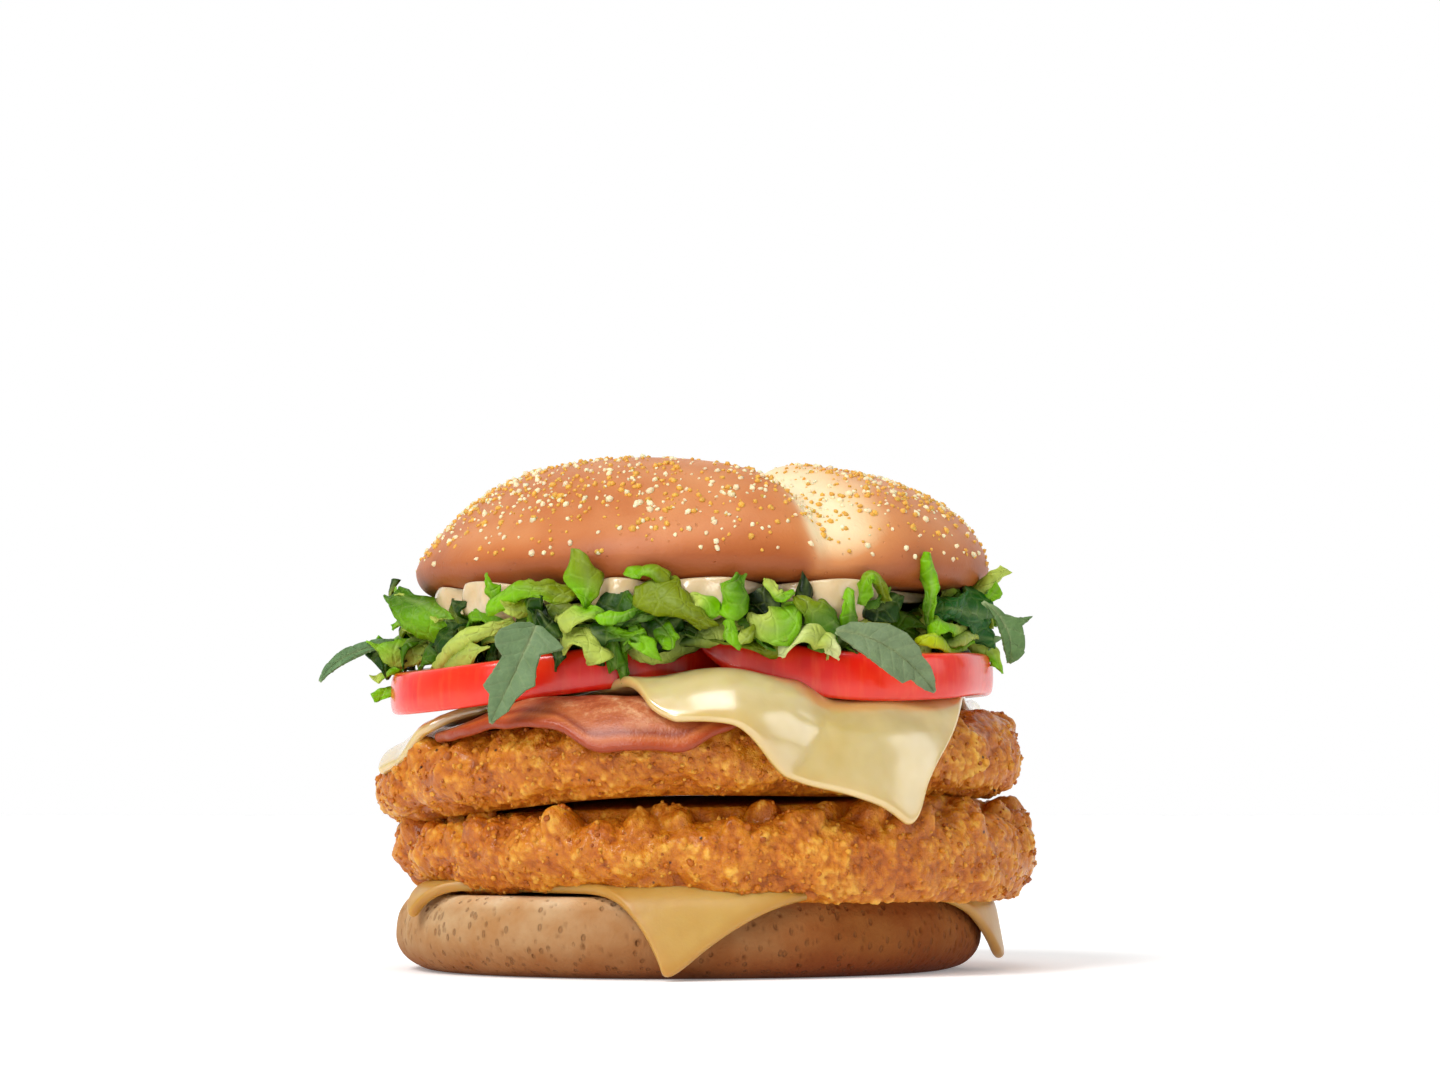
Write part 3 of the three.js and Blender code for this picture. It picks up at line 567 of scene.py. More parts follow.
def patty_radius(patty, turn):
    """An oval with a few slow dents."""
    a, b = patty["length"] / 2, patty["depth"] / 2
    oval = a * b / np.hypot(b * np.cos(turn), a * np.sin(turn))
    return oval + 0.7 * np.sin(3 * turn + patty["seed"]) + 0.5 * np.sin(5 * turn + 2 * patty["seed"])


def dome(near, reach):
    """A round bump on each cell, from how far the points are from its centre."""
    return np.sqrt(np.clip(1 - (near / reach) ** 2, 0, 1))


BIG_CRUMB, MID_CRUMB, SMALL_CRUMB = 3.3, 1.7, 0.95
TOOTH_WIDTH = 5.2


def patty_surface(patty):
    """Rings of a patty's rim and of its whole surface, with its painted light and shade and how coarse its
    crumb is.
    """
    turns = round_turns(1180)
    bends = np.radians(np.linspace(88, -88, 74))[:, None]
    steep = np.degrees(bends)
    seed = patty["seed"]
    rise, facing = patty["hump"]
    brow = patty["brow"](turns) + rise * bulge(turns, facing)
    chin = patty["chin"](turns)
    half, middle = (brow - chin) / 2, (brow + chin) / 2
    out, up = np.cos(bends), np.sin(bends)
    full = np.where(bends < 0, mix(*patty["full"], abs(np.cos(turns))), 1)
    undercut = patty["undercut"] * left_drop(turns) * ease(10, -70, steep)
    rim = patty_radius(patty, turns)[None, :] - PATTY_EDGE + PATTY_EDGE * out ** full - undercut
    rings = polar_rings(patty["x"], rim, middle + half * up, turns)
    local = rings - (patty["x"], 0, 0)
    x, y = local[..., 0], local[..., 1]
    spots = local.reshape(-1, 3)
    shape = rings.shape[:2]

    # The crags, and the teeth and hollows along the edges.
    rough = waves(x, y, 6 * up, 15, seed) + 0.5 * waves(x, y, 9 * up, 8, seed + 4)
    ridge = np.maximum(0, waves(x, y, 0 * x, 9, seed + 2)) * ease(0, 44, steep) * ease(80, 60, steep)
    crag = 0.6 * rough * ease(85, 45, abs(steep)) + 1.1 * ridge
    near, key = crumb_cells(spots * (1, 1, 0.3), TOOTH_WIDTH, seed + 7)
    teeth = (dome(near, 0.6) * (0.55 + 0.7 * SCATTER[key, 1]) - 0.4).reshape(shape)
    crag += patty["teeth"] * teeth * ease(8, 40, steep) * ease(87, 76, steep)
    above, below = patty["hollow"]
    crag -= above * ease(42, 58, steep) * ease(87, 76, steep)
    crag -= below * ease(-42, -58, steep) * ease(-87, -76, steep)

    # The crumb: lumps of three sizes, coarser in places and lower down, in slow folds of batter.
    drift = np.stack([grain(spots, 2.8, seed + 20 + k) for k in range(3)], axis=-1)
    coarse = ease(-0.35, 0.3, grain(spots, 13, seed + 2) - 0.35 * np.repeat(up.ravel(), len(turns)))
    near, key = crumb_cells(spots + 0.9 * drift, BIG_CRUMB, seed)
    big = dome(near, 0.8) * (0.25 + 0.75 * SCATTER[key, 0])
    near, key = crumb_cells(spots + 0.5 * drift, MID_CRUMB, seed + 1)
    mid = dome(near, 0.75) * (0.2 + 0.8 * SCATTER[key, 1])
    near, key = crumb_cells(spots, SMALL_CRUMB, seed + 3)
    small = dome(near, 0.7) * SCATTER[key, 2]
    folds = 0.5 - abs(grain(spots * (1, 1, 0.7), 9, seed + 1)) - 0.6 * abs(grain(spots, 4.5, seed + 5))
    crumb = mix(0.35, 0.55, coarse) * big + mix(0.22, 0.58, coarse) * mid + mix(0.1, 0.36, coarse) * small
    push = crag + (0.9 * folds + crumb - 0.4).reshape(shape) * ease(88, 72, abs(steep))
    rings[..., 0] += push * out * np.cos(turns)
    rings[..., 1] += push * out * np.sin(turns)
    rings[..., 2] += push * up
    # Painted light and shade: the tops of the crumbs and the ridges of the folds are lighter, the hollows
    # between them darker, with a slow random drift.
    tone = 0.42 + 0.2 * big + 0.26 * mid + 0.26 * small + 0.22 * folds + 0.12 * grain(spots, 7, seed + 9)

    # The flat faces, closed towards their middles.
    lid, base = [], []
    for share in (0.1, 0.4, 0.7, 0.9):
        for flat, centre, edge in ((lid, patty["crest"], rings[0]), (base, patty["floor"], rings[-1])):
            way = edge - (patty["x"], 0, 0)
            height = centre + (edge[:, 2] - centre) * share ** 3
            flat.append(np.stack([patty["x"] + way[:, 0] * share, way[:, 1] * share, height], axis=-1))
    skin = np.concatenate([np.stack(lid), rings, np.stack(base[::-1])])
    plain = np.full(len(lid) * len(turns), 0.5)
    marks = [np.concatenate([plain, mark, plain, [0.5, 0.5]]) for mark in (tone, coarse)]
    return rings, skin, marks


def pebbles(centres, sizes, rng, squash=0.75):
    """Small rough lumps of twenty faces, one at each centre."""
    golden = (1 + 5 ** 0.5) / 2
    ball = np.array([(-1, golden, 0), (1, golden, 0), (-1, -golden, 0), (1, -golden, 0),
                     (0, -1, golden), (0, 1, golden), (0, -1, -golden), (0, 1, -golden),
                     (golden, 0, -1), (golden, 0, 1), (-golden, 0, -1), (-golden, 0, 1)])
    ball /= math.hypot(1, golden)
    sides = np.array([(0, 11, 5), (0, 5, 1), (0, 1, 7), (0, 7, 10), (0, 10, 11), (1, 5, 9), (5, 11, 4),
                      (11, 10, 2), (10, 7, 6), (7, 1, 8), (3, 9, 4), (3, 4, 2), (3, 2, 6), (3, 6, 8),
                      (3, 8, 9), (4, 9, 5), (2, 4, 11), (6, 2, 10), (8, 6, 7), (9, 8, 1)])
    count = len(centres)
    lumps = ball * rng.uniform(0.72, 1.2, (count, 12, 1)) * rng.uniform(squash, 1.15, (count, 1, 3))
    turned = np.linalg.qr(rng.normal(size=(count, 3, 3)))[0]
    lumps = np.einsum("nij,nkj->nki", turned, lumps * sizes[:, None, None])
    points = (centres[:, None] + lumps).reshape(-1, 3)
    return points, (np.arange(count)[:, None, None] * 12 + sides).reshape(-1, 3)


CRUMB_COUNT = 1400

breadcrumb, shader = new_finish(
    "fried_breadcrumb", Specular_IOR_Level=0.32, Subsurface_Weight=0.14, Subsurface_Scale=0.0008,
    Subsurface_Radius=(1, 0.4, 0.06), Coat_Weight=0.22, Coat_Roughness=0.12)
# The crumb's painted light and shade, from dark brown in the hollows to pale gold on the tops, with fine
# random mottle.
tone_mark = blended(breadcrumb, 0.22, painted(breadcrumb, "tone"), mottle(breadcrumb, 0.9, 4))
tone = shades(breadcrumb, level(breadcrumb, tone_mark, 0.28, 0.9), (0.0, (84, 32, 0)),
              (0.2, (150, 72, 2)), (0.46, (190, 102, 8)), (0.72, (212, 130, 22)), (1.0, (238, 178, 66)))
darker = level(breadcrumb, mottle(breadcrumb, 10, 4), 0.5, 0.7, 0, 0.22)
tone = tinted(breadcrumb, darker, tone, srgb(236, 186, 116))
tone = blended(breadcrumb, dots(breadcrumb, 2.6, 0.3, 0.15), tone, srgb(44, 24, 12))
tone = blended(breadcrumb, dots(breadcrumb, 4.5, 0.32, 0.12), tone, srgb(168, 46, 10))
colour_from(breadcrumb, shader, tone)
oily = level(breadcrumb, mottle(breadcrumb, 4, 3), 0.4, 0.6, 0.16, 0.36)
gloss = blended(breadcrumb, painted(breadcrumb, "coarse"), oily, (0.48, 0.48, 0.48, 1))
breadcrumb.node_tree.links.new(gloss, shader.inputs["Roughness"])
relief(breadcrumb, shader, (mottle(breadcrumb, 0.28, 3), 0.14), (mottle(breadcrumb, 0.7, 4, 0.65), 0.42))

for node, patty in (("patty_lower", LOWER_PATTY), ("patty_upper", UPPER_PATTY)):
    rim, skin, (crumb_light_and_shade, coarse) = patty_surface(patty)
    points, faces = closed_skin(skin)
    rng = np.random.default_rng(patty["seed"])
    row = rng.integers(6, len(rim) - 10, CRUMB_COUNT)
    column = rng.integers(0, rim.shape[1], CRUMB_COUNT)
    sizes = np.exp(rng.normal(math.log(0.36), 0.32, CRUMB_COUNT)).clip(0.18, 0.8)
    crumbs, sides = pebbles(rim[row, column], sizes, rng)
    crumb_tone = np.repeat(rng.uniform(0.45, 0.95, CRUMB_COUNT), 12)
    cake = new_piece(node.replace("patty", "chicken"), np.concatenate([points, crumbs]),
                     [*faces, sides + len(points)], breadcrumb,
                     tone=np.concatenate([crumb_light_and_shade, crumb_tone]),
                     coarse=np.concatenate([coarse, np.ones(len(crumbs))]))
    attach(cake, "root")
    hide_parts(node)

# ------------------------------------------------------------------------------------------------
# Bacon: one grilled back rasher, laid over the upper patty so that its ends hang out in front and
# behind. The meat is peach pink, with darker bands along the edge.
# ------------------------------------------------------------------------------------------------

BACON_THICKNESS = 1.8
SHOWN_THICKNESS = 0.92 * BACON_THICKNESS  # the rasher shown is a little thinner than the layer it fills
BACON_X, BACON_Y = -14, -3
# How far the rasher reaches from its middle, every fifteen degrees from the right anticlockwise.
BACON_REACH = [28.5, 29.5, 31.5, 35, 43, 51, 53, 50, 42, 34.5, 29.5, 26,
               25, 26, 31, 41, 45.5, 49.3, 56, 58.8, 52.5, 41, 33, 29.3]

PATTY_TOP = {
    "x": UPPER_PATTY["x"],
    "shoulder": PATTY_EDGE,
    "outline": lambda turn: patty_radius(UPPER_PATTY, turn) + 1,
    "top": lambda turn, share: mix(UPPER_PATTY["crest"], UPPER_PATTY["brow"](turn), share ** 3),
    "steepest": math.radians(82),
}


def bacon_radius(turn):
    """How far the rasher reaches this way, on a smooth curve through the reaches above."""
    step = np.mod(turn / math.tau, 1) * len(BACON_REACH)
    first = np.floor(step).astype(int)
    t = step - first
    a, b, c, d = (np.take(BACON_REACH, first + k, mode="wrap") for k in (-1, 0, 1, 2))
    return b + t * (c - a + t * (2 * a - 5 * b + 4 * c - d + t * (3 * b - a - 3 * c + d))) / 2


def bacon_lift(x, y):
    """The rasher is stiff: it stands off the patty at its left and ripples where it hangs."""
    turn = np.arctan2(y, x)
    stand_off = 2.4 * bulge(turn, -120, 0.07)
    return ease(38, 50, np.hypot(x, y)) * (0.7 + 0.5 * np.sin(9 * turn + 2.4) + stand_off)


def rasher(dx, dy):
    x, y = BACON_X + dx, BACON_Y + dy
    crinkle = 0.18 * np.sin(0.55 * x + 0.2 * y) * ease(38, 50, np.hypot(x, y))
    return drape(PATTY_TOP, x, y, DRAPE_GAP + BACON_THICKNESS / 2 + bacon_lift(x, y) + crinkle)


turns = round_turns(520)
ragged = bacon_radius(turns) + 0.35 * np.sin(23 * turns + 1) + 0.2 * np.sin(41 * turns)
flat = np.stack([ragged * np.cos(turns), ragged * np.sin(turns)], axis=-1)
rings, from_edge = draped_slab(flat, rasher, SHOWN_THICKNESS, 60)
points, faces = closed_skin(rings)
edge_mark = np.concatenate([from_edge.ravel(), [30, 30]])

bacon_meat, shader = new_finish(
    "grilled_bacon", Roughness=0.34, Specular_IOR_Level=0.35, Subsurface_Weight=0.1,
    Subsurface_Scale=0.0015, Subsurface_Radius=(1, 0.4, 0.12), Coat_Weight=0.12, Coat_Roughness=0.15)
meat = shades(bacon_meat, level(bacon_meat, mottle(bacon_meat, 3.5, 5, 0.65), 0.36, 0.66),
              (0.0, (146, 66, 36)), (0.4, (178, 92, 56)), (0.7, (198, 122, 80)), (1.0, (230, 178, 134)))
band_place = blended(bacon_meat, 0.1, painted(bacon_meat, "from_edge"), mottle(bacon_meat, 5, 3), "ADD")
bands = shades(bacon_meat, level(bacon_meat, band_place, 0.0, 7.0), (0.0, (146, 50, 12)),
               (0.14, (168, 68, 20)), (0.26, (188, 98, 44)), (0.4, (138, 54, 20)), (0.6, (180, 96, 50)))
near_edge = level(bacon_meat, painted(bacon_meat, "from_edge"), 3.0, 9.0, 0.95, 0.0)
colour_from(bacon_meat, shader, blended(bacon_meat, near_edge, meat, bands))
relief(bacon_meat, shader, (mottle(bacon_meat, 1.6, 4), 0.2), (mottle(bacon_meat, 0.4, 3), 0.05))

bacon = new_piece("bacon_rasher", points, faces, bacon_meat, from_edge=edge_mark)
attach(bacon, "root")
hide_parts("bacon")

# ------------------------------------------------------------------------------------------------
# Upper cheese: a square slice of pale cheese over the bacon. Its front right corner hangs far down
# over the patty, its left corner a little less, and it is soft and shiny.
# ------------------------------------------------------------------------------------------------


def lift_over_bacon(x, y):
    """How far the rasher holds the slice up, with a soft slope down beside it."""
    dx, dy = x - BACON_X, y - BACON_Y
    under = ease(12, 3, np.hypot(dx, dy) - bacon_radius(np.arctan2(dy, dx)))
    return (BACON_THICKNESS + DRAPE_GAP + bacon_lift(x, y)) * under


def upper_slice(x, y):
    turn = np.arctan2(y, x)
    reach = np.hypot(x, y)
    fold = 0.5 * ease(43, 52, reach) * (1.3 + np.sin(13 * turn + 1.4)) * ease(-0.95, -0.6, np.cos(turn))
    places = np.stack([x, y, 0 * x], axis=-1).reshape(-1, 3)
    sag = 0.9 * grain(places, 15, 90).reshape(x.shape) * ease(34, 48, reach)
    return drape(PATTY_TOP, x, y, DRAPE_GAP + CHEESE_THICKNESS / 2 + lift_over_bacon(x, y) + fold + sag)


UPPER_CORNERS = [(73.5, -51), (60, 27), (50, 122), (58.5, 198), (54, 213), (40, 232), (57.5, -97)]
UPPER_BOW = [(-4, 0.32), (0, 0.5), (2, 0.5), (0, 0.5), (0, 0.5), (-2, 0.5), (3.5, 0.3)]
rings, from_edge = draped_slab(
    slice_outline(UPPER_CORNERS, UPPER_BOW, 560), upper_slice, CHEESE_THICKNESS, 70)
points, faces = closed_skin(rings)
edge_mark = np.concatenate([from_edge.ravel(), [50, 50]])

pale_cheese, shader = new_finish(
    "pale_cheese", Roughness=0.24, Specular_IOR_Level=0.5, Subsurface_Weight=0.6,
    Subsurface_Scale=0.0035, Subsurface_Radius=(1, 0.75, 0.3), Coat_Weight=1.0, Coat_IOR=2.1,
    Coat_Roughness=0.18)
tone = patchy(pale_cheese, 14, (204, 178, 106), (220, 200, 142))
rim = level(pale_cheese, painted(pale_cheese, "from_edge"), 0.0, 3.0, 0.5, 0.0)
colour_from(pale_cheese, shader, blended(pale_cheese, rim, tone, srgb(206, 170, 88)))
relief(pale_cheese, shader, (mottle(pale_cheese, 11, 2), 1.2), (mottle(pale_cheese, 0.5), 0.012))

cheese_upper = new_piece("cheese_slice_upper", points, faces, pale_cheese, from_edge=edge_mark)
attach(cheese_upper, "root")
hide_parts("cheese_upper")

# ------------------------------------------------------------------------------------------------
# Tomato: two slices across a large tomato, a thin glossy skin round wet flesh. The right one lies
# over the left one and sags over its edge.
# ------------------------------------------------------------------------------------------------

TOMATO_RADIUS = 32.5
CUT_ROUNDING = 1.1


def right_underside(dx, dy):
    """The right slice's underside: it rests on the left slice, slopes to the right and sags in front."""
    past = np.hypot(dx + RIGHT_TOMATO["x"] - LEFT_TOMATO["x"], dy) - TOMATO_RADIUS
    over_left = 7.9 * np.minimum(1, np.exp((1 - past) / 6))
    sag = 0.0018 * np.maximum(0, dx) ** 2 - 0.0024 * np.minimum(0, dy) ** 2
    return 47.9 - 0.09 * dx + sag + over_left


LEFT_TOMATO = {
    "x": -18.3, "y": -12,
    "below": lambda dx, dy: 48.1 + 0.14 * dx + 0.06 * dy - 0.0033 * np.maximum(0, dx) ** 2,
    "depth": lambda dx, dy: 7.1 - 0.0012 * np.maximum(0, dx) ** 2,
}
RIGHT_TOMATO = {
    "x": 19.2, "y": -12,
    "below": right_underside,
    "depth": lambda dx, dy: 6.9 + 0.075 * np.minimum(0, dx) - 0.03 * dy,
}


def tomato_slice(cut):
    """Rings of a slice: cut faces with a small radius at the skin, which bulges a little."""
    turns = round_turns(420)
    bend = np.linspace(0, math.pi, 28)[:, None]
    radius = TOMATO_RADIUS + 0.5 * np.sin(5 * turns + cut["x"]) + 0.25 * np.sin(9 * turns + 1)
    face_radius = radius - CUT_ROUNDING
    skin_out = face_radius + (CUT_ROUNDING + 0.5) * np.sin(bend) ** 0.5
    skin_share = 0.5 + 0.5 * np.sign(np.cos(bend)) * abs(np.cos(bend)) ** 0.8
    face = np.array([0.03, 0.2, 0.4, 0.55, 0.68, 0.78, 0.86, 0.92, 0.965, 0.99])[:, None] * face_radius
    out = np.concatenate([face, skin_out, face[::-1]])
    share = np.concatenate([np.ones(face.shape), skin_share + 0 * turns, np.zeros(face.shape)])
    dx, dy = out * np.cos(turns), out * np.sin(turns)
    z = cut["below"](dx, dy) + share * cut["depth"](dx, dy)
    reach = out / radius
    return np.stack([cut["x"] + dx, cut["y"] + dy, z], axis=-1), reach, np.broadcast_to(turns, out.shape)


tomato_wet, shader = new_finish(
    "tomato", Roughness=0.24, Specular_IOR_Level=0.45, Subsurface_Weight=0.35,
    Subsurface_Scale=0.003, Subsurface_Radius=(1, 0.16, 0.06), Coat_Weight=0.3, Coat_Roughness=0.12)
skin_tone = patchy(tomato_wet, 12, (222, 26, 10), (240, 56, 20))
streaks = level(tomato_wet, mottle(tomato_wet, 1.5, 3, stretch=(1, 1, 0.15)), 0.5, 0.75, 0, 0.35)
skin_tone = blended(tomato_wet, streaks, skin_tone, srgb(244, 96, 48))
flesh_tone = shades(tomato_wet, painted(tomato_wet, "pulp"),
                    (0.0, (206, 84, 52)), (0.5, (222, 108, 78)), (1.0, (236, 150, 116)))
in_skin = level(tomato_wet, painted(tomato_wet, "reach"), 0.93, 0.965)
colour_from(tomato_wet, shader, blended(tomato_wet, in_skin, flesh_tone, skin_tone))
relief(tomato_wet, shader, (mottle(tomato_wet, 2.5, 3), 0.06))

for node, cut in (("tomato_left", LEFT_TOMATO), ("tomato_right", RIGHT_TOMATO)):
    rings, reach, around = tomato_slice(cut)
    points, faces = closed_skin(rings)
    chambers = np.cos(3 * around + 0.8 * np.sin(2 * around))
    pulp = 0.5 - 0.5 * chambers * ease(0.2, 0.4, reach) * ease(0.85, 0.7, reach)
    slice_piece = new_piece(
        node.replace("tomato", "tomato_slice"), points, faces, tomato_wet,
        reach=np.concatenate([reach.ravel(), [0, 0]]), pulp=np.concatenate([pulp.ravel(), [0.5, 0.5]]))
    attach(slice_piece, "root")
    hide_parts(node)

# ------------------------------------------------------------------------------------------------
# Lettuce: shreds a few millimetres wide, cut across crisp leaves, from nearly white by the rib to
# deep green, and the darkest of them painted shade. They lie in a loose heap on the tomato, and some
# hang over it or stand at the bun.
# ------------------------------------------------------------------------------------------------

SALAD_X = 1
SALAD_RADIUS = 42
SIDE_DEPTH = 15
LEAF_THICKNESS = 0.36
# The two darkest tints are painted shade, for shreds that lie in the shade of the heap.
LEAF_TINTS = {
    "white": (236, 242, 176), "pale": (204, 220, 98), "yellow": (190, 208, 20), "bright": (134, 198, 6),
    "olive": (136, 154, 14), "mid": (82, 134, 4), "dark": (34, 74, 2), "deep": (12, 36, 2),
    "forest": (22, 104, 14), "grey": (124, 156, 100),
}

# The shreds that show in front. Each: three points along its middle (x, how far out from the middle
# of the heap, z), its width, how far its face leans to the right and up, how far its edges curl and
# it twists, and its colour at both ends.
FRONT_SHREDS = [
    ((-38.7, 46, 58.4), (-44.8, 50, 60.6), (-50.5, 52, 64.6), 7.5, (-0.3, 0.35), 0.5, 0.3, "bright", "mid"),
    ((-49.5, 50, 64.2), (-48.5, 51, 61.4), (-50.3, 51, 58.3), 3.5, (-0.6, 0.1), 0.6, 0.2, "pale", "bright"),
    ((-42.9, 46, 54.4), (-48, 50, 54.8), (-53.8, 52, 56.3), 6, (-0.2, 0.55), 0.7, 0.5, "pale", "bright"),
    ((-48, 48, 53.6), (-51.5, 51, 53.2), (-53.4, 52, 52.4), 5.5, (-0.4, 0), 0.4, 0.2, "dark", "dark"),
    ((-49.5, 50, 51.6), (-51.5, 52, 50.4), (-53.4, 53, 49.6), 2.4, (0, 0.6), 0.3, 0, "bright", "pale"),
    ((-49.1, 49, 48.1), (-51.1, 52, 47.3), (-53.6, 53, 46.3), 2.2, (0, 0.6), 0.3, 0, "bright", "bright"),
    ((-43.1, 49, 52.5), (-35.5, 51, 56.1), (-28.2, 50, 58.4), 4.4, (0.1, 0.4), 0.9, 0.5, "pale", "pale"),
    ((-41.1, 50, 51.1), (-37.5, 51.5, 52.4), (-32.3, 51, 54.1), 3.6, (0, 0.5), 0.6, 0.4, "olive", "pale"),
    ((-18.1, 48, 61.7), (-25.3, 51, 63.2), (-31.8, 52, 62.6), 5.6, (0, 0.4), 0.7, 0.5, "olive", "bright"),
    ((-30.7, 51, 61.9), (-32, 52.5, 63.7), (-32.8, 52, 66.1), 2, (-0.3, 0.2), 0.6, 0.3, "bright", "bright"),
    ((-32.4, 50.5, 62.8), (-28.7, 51.5, 60.3), (-24.6, 49, 60.3), 3.6, (0, -0.3), 0.4, -0.4, "pale", "olive"),
    ((-16.3, 50.5, 59.8), (-15.9, 52.3, 63.6), (-16.6, 52.5, 68.7),
     4.6, (0.15, 0.1), 0.6, 0.4, "bright", "olive"),
    ((-20.5, 51, 58), (-16.8, 52, 58.8), (-13.5, 51, 59.9), 4.4, (0, 0.6), 0.6, 0.6, "pale", "bright"),
    ((-13.9, 51.5, 58.4), (-10.1, 52, 58.7), (-6.2, 51, 60.7), 2, (0, 0.5), 0.5, 0.4, "bright", "mid"),
    ((-13.6, 48.5, 61.2), (-8.7, 50, 59.5), (-4.2, 49, 60.3), 8, (0, 0.1), 0.5, 0.4, "dark", "mid"),
    ((-9.8, 48, 55.6), (-5.3, 50, 56.5), (-0.5, 49, 58.4), 8, (0.1, 0), 0.5, -0.4, "deep", "dark"),
    ((-15, 50, 56.6), (-10.9, 51, 55.4), (-6.4, 50, 56.2), 4.5, (0, 0.3), 0.5, 0.4, "dark", "bright"),
    ((-9.4, 51, 65), (-6.2, 51.5, 66.4), (-2.4, 51, 64.2), 4, (0, 0.8), 0.8, 0.3, "bright", "olive"),
    ((-6.4, 51.5, 64.2), (-1.2, 53, 60.4), (4.3, 50.5, 56.5), 6.2, (-0.15, 0.25), 0.5, 0.5, "olive", "olive"),
    ((-19.6, 49.5, 55.5), (-15.7, 52.5, 54.3), (-13.4, 52.5, 50.9),
     6.6, (0.1, 0.4), 0.6, 0.5, "pale", "pale"),
    ((-9.4, 50, 55.4), (-7.1, 52, 54.8), (-7, 52, 52.7), 5, (0, 0.3), 0.5, 0.4, "mid", "bright"),
    ((-5, 49.5, 56.5), (-2.7, 52, 55.3), (-2.3, 52, 53.3), 5, (0.2, 0.2), 0.5, -0.3, "mid", "bright"),
    ((-24.6, 49, 60.7), (-23, 50.5, 57.9), (-20.7, 50.5, 54.9), 4.6, (0.2, 0.1), 0.3, 0.3, "deep", "dark"),
    ((1.2, 50.5, 61), (3, 51.5, 60.6), (4.4, 50.5, 57.9), 5, (0, 0.4), 0.7, 0.3, "pale", "bright"),
    ((5.4, 50, 60), (7.5, 52, 62), (9.1, 51.5, 65.4), 5, (-0.3, 0.2), 0.6, 0.5, "bright", "mid"),
    ((6.8, 51, 57.7), (7.5, 52, 56.1), (7.5, 52, 53.8), 3, (0, 0.1), 0.7, 0.3, "bright", "bright"),
    ((7.9, 51.5, 54.4), (9.6, 52, 55.4), (11.2, 51, 56.5), 2.6, (0, 0.5), 0.5, 0.4, "pale", "olive"),
    ((13.7, 50, 64.6), (15.2, 52, 62.1), (17.5, 51, 62.5), 3.4, (0, 0.3), 1.2, 0.8, "pale", "bright"),
    ((11, 50, 58.7), (14.5, 52, 57.9), (18.1, 50, 60.5), 6.5, (0, 0.4), 0.6, 0.5, "pale", "bright"),
    ((14.9, 51, 55.5), (16.6, 52, 56.9), (18.4, 51, 58), 3.4, (0, 0.2), 0.5, 0.4, "bright", "pale"),
    ((18.2, 50, 61.6), (21.5, 52.5, 59.7), (24.8, 51, 57.1), 6.4, (0.1, 0.45), 0.7, 0.3, "olive", "mid"),
    ((26.3, 50.5, 63.2), (26.7, 52.5, 59.5), (26.2, 51.5, 56.2), 3.8, (0.2, 0.1), 0.7, 0.5, "bright", "mid"),
    ((15.2, 50.5, 53.8), (19.1, 52.5, 55.8), (23, 51, 56.4), 5.2, (0, 0.6), 0.8, 0.7, "white", "pale"),
    ((21.6, 51, 56), (23.5, 52.7, 54.2), (23.7, 52, 51.9), 4.6, (0.1, 0.3), 0.7, 0.5, "pale", "white"),
    ((28.1, 50.5, 60.8), (30.5, 52.5, 65.5), (32.8, 51, 61.3), 3.4, (0, 0.2), 0.5, 0.9, "bright", "olive"),
    ((28.2, 48.5, 59.8), (32.1, 50, 60.6), (35.5, 49, 63), 5.5, (0.1, 0.2), 0.3, 0.3, "deep", "dark"),
    ((10.7, 47.5, 62.3), (12.4, 48.5, 60.9), (14.9, 48, 60.6), 4, (0, 0.2), 0.3, 0.3, "dark", "olive"),
    ((40.1, 49.5, 56.8), (40.7, 52, 62.7), (40.6, 52, 69.9), 4.2, (-0.3, 0.1), 0.9, 2.2, "mid", "bright"),
    ((47.1, 46, 63.5), (50.7, 50, 65.5), (54.6, 52, 68.6), 4, (0.3, 0.2), 0.5, 0.3, "olive", "pale"),
    ((50.1, 48, 62.9), (52, 50.5, 63.8), (53.5, 52, 65.4), 3, (0.4, 0.1), 0.5, 0.2, "bright", "bright"),
    ((42.9, 47, 63.7), (45, 48.5, 64.3), (47.1, 48, 63.8), 3.4, (0, 0.5), 0.5, 0.2, "pale", "bright"),
    ((41.4, 48.5, 60.5), (46.2, 51.5, 61.2), (52.4, 51, 60.8), 8.8, (0.2, 0.1), 0.4, 0.3, "forest", "forest"),
    ((44.9, 49, 57.8), (48.6, 51.5, 57.9), (52.4, 51, 57), 6, (0.3, 0.2), 0.4, 0.2, "dark", "forest"),
    ((40.6, 50.5, 57.9), (44.5, 52.3, 58.2), (49.8, 51, 58.6), 4.4, (0.1, 0.5), 0.7, 0.5, "bright", "pale"),
    ((38.5, 50, 56.1), (43.2, 52, 55), (48.9, 51, 56.3), 3, (0.1, 0.5), 0.8, 0.5, "yellow", "bright"),
    ((41.6, 50, 56), (45.8, 52, 56), (49, 51, 56.7), 2.6, (0.1, 0.4), 0.5, 0.3, "mid", "pale"),
    ((49.8, 48, 56.7), (52.1, 51, 54.1), (53.1, 51.5, 51.3), 4.4, (0.4, 0.2), 0.6, 0.3, "pale", "bright"),
    ((49.5, 49, 55.5), (51.3, 51.5, 56.1), (53, 51, 57), 3.8, (0.3, 0.3), 0.3, 0.2, "grey", "grey"),
]


def in_front(x, out, z):
    """A point this far out from the middle of the heap, in front of it or at its sides."""
    return (x, -math.sqrt(max(out ** 2 - (x - SALAD_X) ** 2, SIDE_DEPTH ** 2)), z)


def unit(vectors):
    return vectors / np.maximum(np.linalg.norm(vectors, axis=-1), 1e-9)[..., None]


